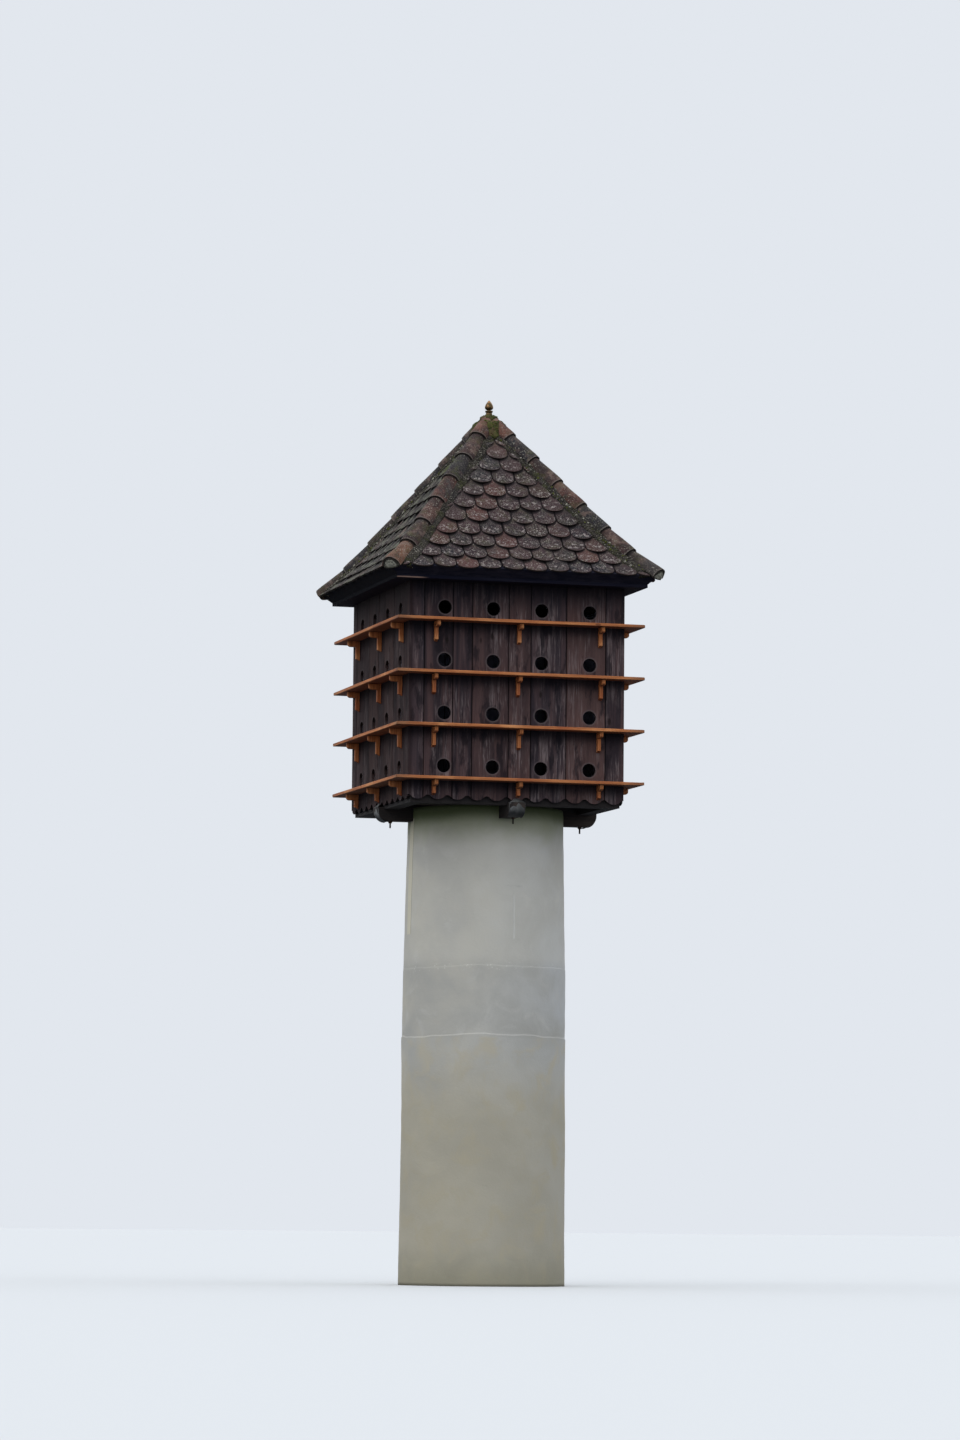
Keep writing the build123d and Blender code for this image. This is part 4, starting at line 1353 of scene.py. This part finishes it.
course_slips = random.Random(4)
for angle, side in zip(range(0, 360, 90), side_names):
    spots, faces_to, rises = [], [], []
    course = 0
    while tile_exposure * course < slope_length - tile_stop:
        length = tile_exposure * course
        out, height = roof_point(length)
        top_out, top_height = roof_point(length + tile_exposure, tile_thickness)
        rise = Vector((0, out - top_out, top_height - height)).normalized()
        reach = int((out + tile_spacing) / tile_spacing)
        slip = course_slips.uniform(-tile_slip, tile_slip)
        for place_number in range(-reach, reach + 1):
            across = (place_number + (course + 1) % 2 / 2) * tile_spacing + slip
            if abs(across) - tile_width / 2 > out - tile_cut * sqrt(2) + tile_cut_reach:
                continue
            spots.append((across, -out, height))
            rises.append(rise)
            faces_to.append(Vector((0, -rise.z, rise.y)))
        course += 1
    carrier_mesh = bpy.data.meshes.new("tile_carrier")
    carrier_mesh.from_pydata(spots, [], [])
    for label, vectors in (("facing", faces_to), ("rise", rises)):
        held = carrier_mesh.attributes.new(label, "FLOAT_VECTOR", "POINT")
        held.data.foreach_set("vector", [part for vector in vectors for part in vector])
    tiles = grown(f"beaver_tails_{side}", carrier_mesh, tile_tree, {
        "Tile": tile_pattern, "Slip": tile_slip, "Turn": tile_turn, "Seed": 40 + angle,
        "Finish": roof_clay,
    })
    cut = bmesh.new()
    cut.from_mesh(tiles)
    for hand in (-1, 1):
        cut_off(cut, (0, -tile_cut * sqrt(2), 0), (hand, 1, 0))
    bmesh.ops.rotate(cut, verts=cut.verts, matrix=Matrix.Rotation(radians(angle), 3, "Z"))
    cut.to_mesh(tiles)
    cut.free()
    new_piece(
        f"beaver_tails_{side}", tiles, slot="roof_tiles", replaces=[f"roof_slope_{side}"]
    )
new_piece(
    "roof_deck", roof_deck, deck_finish, slot="roof_tiles",
    replaces=[f"roof_slope_{side}" for side in side_names],
)


# Each hip is a bed of lime mortar, wider than the tiles on it, its edges trowelled over the cut
# beaver tails and long since lichened. A lump of mortar plugs the mouth of the lowest hip tile.
mortar_half = 0.180
mortar_step = 0.030
mortar_wave = 0.030
mortar_ripple = 0.014
mortar_lump = 0.005
mortar_start = sprocket_length * 0.075
mortar_stop = 0.03
mortar_first_sink = 0.03
mortar_under_depth = 0.05
mortar_profile = (
    (1.00, -0.030), (0.985, -0.012), (0.95, -0.002), (0.86, 0.004), (0.74, 0.007), (0.62, 0.010),
    (0.46, 0.012), (0.26, 0.006), (0.0, 0.0),
)
hip_tile_setback = 0.045
hip_tile_spacing = 0.273
hip_tile_overlap = 0.078
hip_tile_radius = 0.088
hip_tile_thickness = 0.014
hip_axis_depth = 0.041
plug_radius = 0.072
plug_length = 0.060
plug_bulge = 0.014
plug_bulge_steps = 4
plug_sides = 24
plug_lump = 0.006
plug_lowest = -0.016
plug_out = (1.655, 1.675)
plug_heights = (5.98, 6.0)
plug_rim = (0.056, 0.066)
hip_names = ("front_right", "back_right", "back_left", "front_left")


def hip_spot(length, beside, lift, hand):
    """Point by the front right hip, beside it along a course and lifted square to that slope."""
    out, height = roof_point(length, -lift)
    flat_out, _ = roof_point(length)
    return (flat_out - beside, -out, height) if hand < 0 else (out, -flat_out + beside, height)


hip_axes = []
for tile in range(round((slope_length - hip_tile_setback) / hip_tile_spacing)):
    low = Vector(roof_point(hip_tile_setback + hip_tile_spacing * tile))
    high = Vector(roof_point(hip_tile_setback + hip_tile_spacing * (tile + 1)))
    low.x *= sqrt(2)
    high.x *= sqrt(2)
    along = (high - low).normalized()
    bare = (high - low).length
    hip_axes.append((low - Vector((along.y, -along.x)) * hip_axis_depth, along, bare))

mortar, place = new_finish("lime_mortar")
clouds = place.mottle(14.0, 5.0, 0.65)
mortar_colour = clouds.ramp(0.35, 0.7).blend(tone(42, 39, 36), tone(78, 73, 66))
rubble = place.moved((7, 7, 2)).spots(30.0, "DISTANCE_TO_EDGE")
mortar_colour = ((1 - rubble.ramp(0.02, 0.12)) * 0.6).blend(mortar_colour, tone(30, 28, 26))
mortar_colour, mortar_relief = weathered(mortar_colour, place, lichen=0.85, moss=0.7, soot=0.7)
crumb = own_number(mortar)
crumb_colour = (crumb * 3.7).maths("FRACT").ramp(0.2, 0.8).blend(tone(66, 62, 56), tone(158, 154, 143))
crumb_colour = crumb.ramp(0.62, 0.64).blend(crumb_colour, tone(84, 88, 44))
from_axis = place.times(1, 1, 0).length()
plugs = from_axis.ramp(*plug_out) * place.axis(2).ramp(*plug_heights)
mouth, up_hip, _ = hip_axes[0]
out_x = place.axis(0).absolute()
out_y = place.axis(1).absolute()
mouth_across = (out_x - out_y) * sqrt(0.5)
mouth_up = ((out_x + out_y) * sqrt(0.5) - mouth.x) * up_hip.y - (place.axis(2) - mouth.y) * up_hip.x
from_mouth = mouth_across.square_to(mouth_up)
# Painted shadow: the plug is darkened in an arc under the rim of the lowest hip tile's mouth.
painted_shadow_in_mouth = plugs * (from_mouth + clouds * 0.01).ramp(*plug_rim)
mortar_colour = layered(
    mortar_colour,
    (crumb.ramp(0.005, 0.01), crumb_colour),
    (plugs * clouds.ramp(0.2, 0.5) * 0.9, tone(164, 163, 150)),
    (painted_shadow_in_mouth * 0.9, tone(24, 22, 20)),
)
coat(
    mortar, mortar_colour, 0.92, mortar_relief + rubble.ramp(0.0, 0.2), 0.008, specular=0.1
)

# Strews crumbs of mortar and cushions of moss over the parts of a mesh that look up, so many to
# a square metre, each pressed in flat and with a number of its own, and keeps the mesh itself.
crumb_tree, size = new_tree("strew_crumbs", {
    "Crumb": "Object", "Density": "Float", "Small": "Float", "Large": "Float", "Seed": "Int",
})
ground = size["Geometry"]
looking_up = Wire(crumb_tree.nodes.new("GeometryNodeInputNormal").outputs[0]).axis(2)
strewn = ground.node("GeometryNodeDistributePointsOnFaces", None, {
    "Mesh": ground, "Density": size["Density"] * looking_up.ramp(0.15, 0.3), "Seed": size["Seed"],
})
on_face = Wire(strewn.socket.node.outputs["Rotation"])
grain_size = dice(ground, 0.0, 1.0, size["Seed"] + 3)
grain_size = size["Small"] + (size["Large"] - size["Small"]) * (grain_size * grain_size)
crumb_shape = Wire(crumb_tree.nodes.new("GeometryNodeObjectInfo").outputs["Geometry"])
crumb_tree.links.new(size["Crumb"].socket, crumb_shape.socket.node.inputs[0])
crumb_number = dice(ground, 0.02, 1.0, size["Seed"] + 2)
strewn = copies_at(strewn, crumb_shape, on_face, crumb_number, Scale=grain_size)
joined_tree = crumb_tree.nodes.new("GeometryNodeJoinGeometry")
for wire in (strewn, ground):
    crumb_tree.links.new(wire.socket, joined_tree.inputs[0])
close_tree(crumb_tree, Wire(joined_tree.outputs[0]), size["Finish"])

crumb_ball = bmesh.new()
bmesh.ops.create_icosphere(crumb_ball, subdivisions=1, radius=1.0)
for vert in crumb_ball.verts:
    vert.co *= 1 + 0.25 * rough(*vert.co, 1.7)
    vert.co.z *= 0.6
crumb_pattern = bpy.data.objects.new("crumb", to_mesh(crumb_ball, "crumb", smooth=True))


def on_hip(low, along):
    """Place for a piece drawn with y up the hip, x across it and z square to it."""
    return Matrix((
        (0, along.x, along.y, low.x),
        (1, 0, 0, 0),
        (0, along.y, -along.x, low.y),
        (0, 0, 0, 1),
    ))


mortar_length = slope_length - mortar_stop - mortar_start
steps = int(mortar_length / mortar_step)
for turn, name in enumerate(hip_names):
    bed = bmesh.new()
    sections = []
    for step in range(steps + 1):
        length = mortar_start + mortar_length * step / steps
        section = []
        for hand in (-1, 1):
            shares = mortar_profile if hand < 0 else tuple(reversed(mortar_profile[:-1]))
            for share, lift in shares:
                wave = mortar_wave * rough(length * 3.5, hand * 3 + turn * 5, 1.5, 1.0)
                wave += mortar_ripple * rough(length * 19, hand * 4 + turn * 3, 6.5, 1.0)
                beside = share * (mortar_half + wave)
                beside = min(beside, roof_point(length)[0] * 0.999)
                lump = mortar_lump * rough(length * 16, beside * 16 * hand, turn * 7.0, 1.0)
                sunk = -mortar_first_sink if step == 0 else 0
                section.append(hip_spot(length, beside, lift + lump + sunk, hand))
        sections.append([bed.verts.new(point) for point in section])
        under_half = min(mortar_half * 0.9, roof_point(length)[0] * 0.99)
        under = [hip_spot(length, under_half, -mortar_under_depth, hand) for hand in (-1, 1)]
        sections[-1] += [bed.verts.new(point) for point in reversed(under)]
    for lower, upper in zip(sections[:-1], sections[1:]):
        skin(bed, lower, upper, closed=True)
    bed.faces.new(list(reversed(sections[0])))
    bed.faces.new(sections[-1])
    plug_profile = [(0, -plug_bulge)]
    for step in range(1, plug_bulge_steps + 1):
        share = step / plug_bulge_steps
        plug_profile.append((plug_radius * share, -plug_bulge * (1 - share**2)))
    plug_profile += [(plug_radius, plug_length), (0, plug_length)]
    plug = lathe(plug_profile, plug_sides)
    bmesh.ops.rotate(plug, verts=plug.verts, matrix=Matrix.Rotation(-pi / 2, 3, "X"))
    for vert in plug.verts:
        lump = rough(vert.co.x * 30, turn * 5.0, vert.co.z * 30, 1.0)
        vert.co += Vector((1, 1, 1)) * plug_lump * lump
        vert.co.z = max(vert.co.z, plug_lowest)
    low, along, _ = hip_axes[0]
    bmesh.ops.transform(
        plug, verts=plug.verts, matrix=Matrix.Rotation(-pi / 4, 4, "Z") @ on_hip(low, along)
    )
    add_part(bed, plug)
    bmesh.ops.recalc_face_normals(bed, faces=bed.faces)
    bmesh.ops.rotate(bed, verts=bed.verts, matrix=Matrix.Rotation(turn * pi / 2, 3, "Z"))
    bed_mesh = grown(
        f"hip_mortar_{name}", to_mesh(bed, f"hip_mortar_{name}", smooth=True), crumb_tree,
        {"Crumb": crumb_pattern, "Density": 1200.0, "Small": 0.003, "Large": 0.015,
         "Seed": 60 + turn, "Finish": mortar},
    )
    new_piece(
        f"hip_mortar_{name}", bed_mesh, slot="lime_mortar", replaces=[f"hip_bed_{name}"]
    )


# Seven tapered half-round tiles ride each hip from the eaves up, every one pushed over the head
# of the one below. They are handmade and of mixed firings, so the clay runs from orange to slate.
clay_names = {
    "orange_brown": tone(102, 70, 54), "reddish": tone(84, 54, 49), "brown_grey": tone(57, 49, 47),
    "terracotta_brown": tone(76, 53, 49), "slate": tone(39, 38, 43), "dark_red": tone(62, 45, 44),
    "terracotta": tone(104, 70, 60),
}
hip_clays = {
    "front_right": "brown_grey dark_red slate reddish dark_red slate terracotta",
    "back_right": "reddish orange_brown brown_grey dark_red terracotta_brown reddish orange_brown",
    "back_left": "brown_grey slate brown_grey slate slate brown_grey slate",
    "front_left": "orange_brown dark_red terracotta_brown reddish slate dark_red terracotta",
}
crown_radius = 0.057
hip_around = 22
hip_along = 7
hip_taper = (hip_tile_thickness + 0.0007) / hip_tile_spacing
hip_wobble = 0.0022
hip_lip = 0.0025
hip_chip = 0.004
hip_mitre_gap = 0.002
hip_lap_shade = (0.304, 0.322)

hip_clay, place = new_finish("hip_tile_clay")
flat, _, number = numbered_grain(hip_clay)
clay_stops = [
    (order / len(clay_names), colour) for order, colour in enumerate(clay_names.values())
]
clay_tone = place.node("ShaderNodeValToRGB", {"stops": clay_stops}, {0: number})
clay_tone.socket.node.color_ramp.interpolation = "CONSTANT"
blotch = place.mottle(13.0, 5.0, 0.62)
stains = place.moved((9, 2, 5)).mottle(8.0, 5.0, 0.65, 0.4)
clay_colour = layered(
    (blotch.ramp(0.45, 0.7) * 0.5).blend(clay_tone, tone(92, 71, 64)),
    (stains.ramp(0.48, 0.6) * 0.65, tone(36, 30, 31)),
    ((1 - stains.ramp(0.38, 0.46)) * 0.4, tone(128, 108, 99)),
)
up_tile = flat.axis(1) + blotch * 0.012
clay_colour, clay_relief = weathered(clay_colour, place, lichen=0.6, moss=0.45, soot=0.8)
# Painted shade on each hip tile: its mouth end is darkened, a pale band lies just above it, and its head
# is darkened where the tile above covers it.
clay_colour = layered(
    clay_colour,
    ((1 - up_tile.ramp(0.010, 0.020)) * 0.4, tone(126, 117, 110)),
    ((1 - up_tile.ramp(0.006, 0.008)) * 0.8, tone(30, 26, 26)),
    (up_tile.ramp(*hip_lap_shade) * 0.85, tone(21, 18, 18)),
)
coat(hip_clay, clay_colour, blotch * 0.2 + 0.72, clay_relief, 0.0022, specular=0.16)

clay_order = list(clay_names)
for turn, name in enumerate(hip_names):
    parts = []
    for tile, clay in enumerate(hip_clays[name].split()):
        low, along, bare = hip_axes[tile]
        length = bare + hip_tile_overlap
        if tile == len(hip_axes) - 1:
            length = (low.x + hip_tile_radius * along.y - crown_radius) / (
                hip_taper * along.y - along.x
            )
        shell = bmesh.new()
        rings = []
        for inner in (0, 1):
            for step in range(hip_along + 1):
                share = step / hip_along
                ring = []
                chipped = hip_chip if step == 0 else 0
                for side in range(hip_around + 1):
                    angle = pi * side / hip_around
                    radius = hip_tile_radius - hip_taper * length * share
                    lip = hip_lip if step in (0, hip_along) else 0
                    radius -= hip_tile_thickness - lip if inner else lip
                    bend = rough(cos(angle), share * 2, tile * 3.0 + turn * 11, 1.3)
                    radius += hip_wobble * bend * (0.3 if inner else 1)
                    chip = chipped * rough(cos(angle) * 2, tile * 5.0, turn * 3.0, 1.2)
                    ring.append(shell.verts.new((
                        radius * cos(angle), length * share + chip, radius * sin(angle)
                    )))
                rings.append(ring)
        outside, inside = rings[:hip_along + 1], rings[hip_along + 1:]
        for lines in (outside, inside):
            for lower, upper in zip(lines[:-1], lines[1:]):
                skin(shell, lower, upper)
        for end in (0, -1):
            skin(shell, outside[end], inside[end])
        for side in (0, hip_around):
            skin(shell, [line[side] for line in outside], [line[side] for line in inside])
        bmesh.ops.recalc_face_normals(shell, faces=shell.faces)
        lie = on_hip(low, along)
        if tile == len(hip_axes) - 1:
            stand_back = lie.inverted()
            for hand in (-1, 1):
                cut_off(
                    shell, stand_back @ Vector((hip_mitre_gap, 0, 0)),
                    stand_back.to_3x3() @ Vector((-1, hand, 0)),
                )
        stand = Matrix.Rotation(turn * pi / 2 - pi / 4, 4, "Z") @ lie
        number_of_clay = (clay_order.index(clay) + 0.4) / len(clay_order)
        parts.append((to_mesh(shell, "hip_tile", smooth=True), stand, number_of_clay))
    new_piece(
        f"half_round_hip_{name}", gather(f"half_round_hip_{name}", parts), hip_clay,
        slot="hip_tile_clay", replaces=[f"hip_tiles_{name}"],
    )


# At the top the four highest hip tiles are mitred together, and a lump of mortar crowns them.
# Moss has grown over it and down the valley between the tiles on each slope.
crown_low, crown_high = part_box("apex_cap")
crown_dome_radius = 0.084
crown_flat_radius = 0.034
crown_dome_rise = 0.032
crown_steps = 9
tongue_length = 0.235
tongue_rows = 12
tongue_columns = 10
moss_half = 0.084
tongue_start = 0.045
tongue_over_hip = 0.050
tongue_depth = 0.03
tongue_lift = 0.096
tongue_thinnest = 0.010
tongue_lump = 0.005
crown_foot = (0.060, crown_low.z)
crown_shoulder = (crown_dome_radius + 0.010, crown_high.z - 0.060)
crown_top_radius = 0.024
crown_sides = 36
crown_lump = 0.004
moss_heights = (7.40, 7.47)


def rim(lines):
    """The points round the edge of a grid of points."""
    edge = lines[0] + [line[-1] for line in lines[1:]] + list(reversed(lines[-1][:-1]))
    return edge + [line[0] for line in reversed(lines[1:-1])]


crown_profile = [crown_foot, crown_shoulder]
for step in range(crown_steps + 1):
    turn = pi / 2 * step / crown_steps
    radius = crown_flat_radius + (crown_dome_radius - crown_flat_radius) * cos(turn)
    crown_profile.append((radius, crown_high.z - crown_dome_rise * (1 - sin(turn))))
crown_profile += [(crown_top_radius, crown_high.z), (0, crown_high.z)]
crown = lathe(crown_profile, crown_sides)
for vert in crown.verts:
    lump = crown_lump * rough(vert.co.x * 28, vert.co.y * 28, vert.co.z * 28, 1.0) - 0.003
    vert.co.x += lump * vert.co.x / max(vert.co.xy.length, 0.02)
    vert.co.y += lump * vert.co.y / max(vert.co.xy.length, 0.02)
    if vert.co.xy.length > crown_flat_radius:
        vert.co.z += min(0, 1.5 * lump)
for angle in range(0, 360, 90):
    outer, inner = [], []
    facing_side = Matrix.Rotation(radians(angle), 3, "Z")
    for row in range(tongue_rows + 1):
        share = row / tongue_rows
        length = slope_length - tongue_start - tongue_length * share
        ragged = 1 + 0.28 * rough(share * 6, angle * 0.13, 2.0, 1.0)
        half = min(moss_half * ragged * (1 - 0.45 * share), roof_point(length)[0] + tongue_over_hip)
        half *= min(1, (1 - share) / 0.12 + 0.25)
        for ring in (outer, inner):
            line = []
            for column in range(tongue_columns + 1):
                across = 2 * column / tongue_columns - 1
                lift = tongue_lift * (1 - share) + tongue_thinnest
                lift *= sqrt(max(0, 1 - across**6))
                lift += tongue_lump * rough(across * 3 + angle, share * 9, 4.0, 1.0)
                out, height = roof_point(length, -lift if ring is outer else tongue_depth)
                height = min(height, crown_high.z - 0.008 - 0.8 * max(0, out - 0.04))
                line.append(crown.verts.new(facing_side @ Vector((across * half, -out, height))))
            ring.append(line)
    for lower, upper in zip(outer[:-1], outer[1:]):
        skin(crown, upper, lower)
    for lower, upper in zip(inner[:-1], inner[1:]):
        skin(crown, lower, upper)
    skin(crown, rim(outer), rim(inner), closed=True)
bmesh.ops.recalc_face_normals(crown, faces=crown.faces)
crown_mesh = to_mesh(crown, "mossy_crown", smooth=True)

mossy_mortar, place = new_finish("mossy_mortar")
clumps = place.mottle(38.0, 6.0, 0.7, 0.3)
clods = place.moved((3, 3, 8)).mottle(14.0, 5.0, 0.65)
tuft = own_number(mossy_mortar)
tuft_colour = (tuft * 5.3).maths("FRACT").blend(tone(44, 46, 20), tone(90, 94, 40))
green_zone = (place.axis(2) + clods * 0.08).ramp(*moss_heights)
tuft_colour = green_zone.blend(tone(78, 66, 42), tuft_colour)
moss_colour = layered(
    clumps.ramp(0.38, 0.66).blend(tone(42, 45, 24), tone(80, 85, 44)),
    (clods.ramp(0.48, 0.6) * 0.65, tone(96, 78, 60)),
    ((1 - clods.ramp(0.34, 0.44)) * 0.7, tone(36, 31, 27)),
    (tuft.ramp(0.005, 0.01), tuft_colour),
)
coat(mossy_mortar, moss_colour, 0.95, clumps + clods * 0.6, 0.008, specular=0.15)
crown_mesh = grown("mossy_crown", crown_mesh, crumb_tree, {
    "Crumb": crumb_pattern, "Density": 2600.0, "Small": 0.003, "Large": 0.011, "Seed": 70,
    "Finish": mossy_mortar,
})
new_piece("mossy_crown", crown_mesh, slot="lime_mortar", replaces=["apex_cap"])


# A turned metal acorn on a collared foot finishes the roof. The gilding has gone to brown, green
# in the grooves and still bright on the acorn's shoulder.
finial_low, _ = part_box("finial")
foot_height = 0.025
collar_height = 0.012
neck_height = 0.008
finial_sides = 40
acorn_profile = (
    (0.016, 0.0), (0.025, 0.002), (0.033, 0.008), (0.0365, 0.016), (0.037, 0.023),
    (0.0355, 0.032), (0.0320, 0.042), (0.0272, 0.052), (0.0215, 0.061), (0.0158, 0.069),
    (0.0105, 0.0755), (0.0062, 0.080), (0.0028, 0.0835), (0, 0.085),
)
base = finial_low.z
finial_profile = [
    (0.0310, base), (0.0315, base + 0.002), (0.0285, base + 0.007), (0.0270, base + 0.016),
    (0.0275, base + 0.022), (0.0295, base + foot_height - 0.001),
    (0.0325, base + foot_height), (0.034, base + foot_height + 0.002),
    (0.034, base + foot_height + collar_height - 0.002),
    (0.0325, base + foot_height + collar_height),
    (0.020, base + foot_height + collar_height + 0.001),
    (0.0165, base + foot_height + collar_height + 0.004),
]
acorn_base = base + foot_height + collar_height + neck_height
finial_profile += [(radius, acorn_base + rise) for radius, rise in acorn_profile]
finial_mesh = to_mesh(lathe(finial_profile, finial_sides), "turned_acorn", smooth=True)

gilding, place = new_finish("finial_metal")
tarnish = place.mottle(38.0, 5.0, 0.62, 0.4)
pits = place.moved((2, 2, 2)).mottle(120.0, 5.0, 0.7)
under_shoulder = 1 - (place.axis(2) + tarnish * 0.01).ramp(acorn_base + 0.004, acorn_base + 0.02)
gilt_colour = layered(
    tarnish.ramp(0.4, 0.66).blend(tone(72, 62, 42), tone(150, 112, 76)),
    (pits.ramp(0.55, 0.72) * 0.5, tone(74, 78, 54)),
    (under_shoulder * 0.55, tone(64, 58, 40)),
)
coat(gilding, gilt_colour, tarnish * 0.25 + 0.24, pits, 0.0006, metallic=0.9)
new_piece("turned_acorn", finial_mesh, gilding, slot="finial_metal", replaces=["finial"])
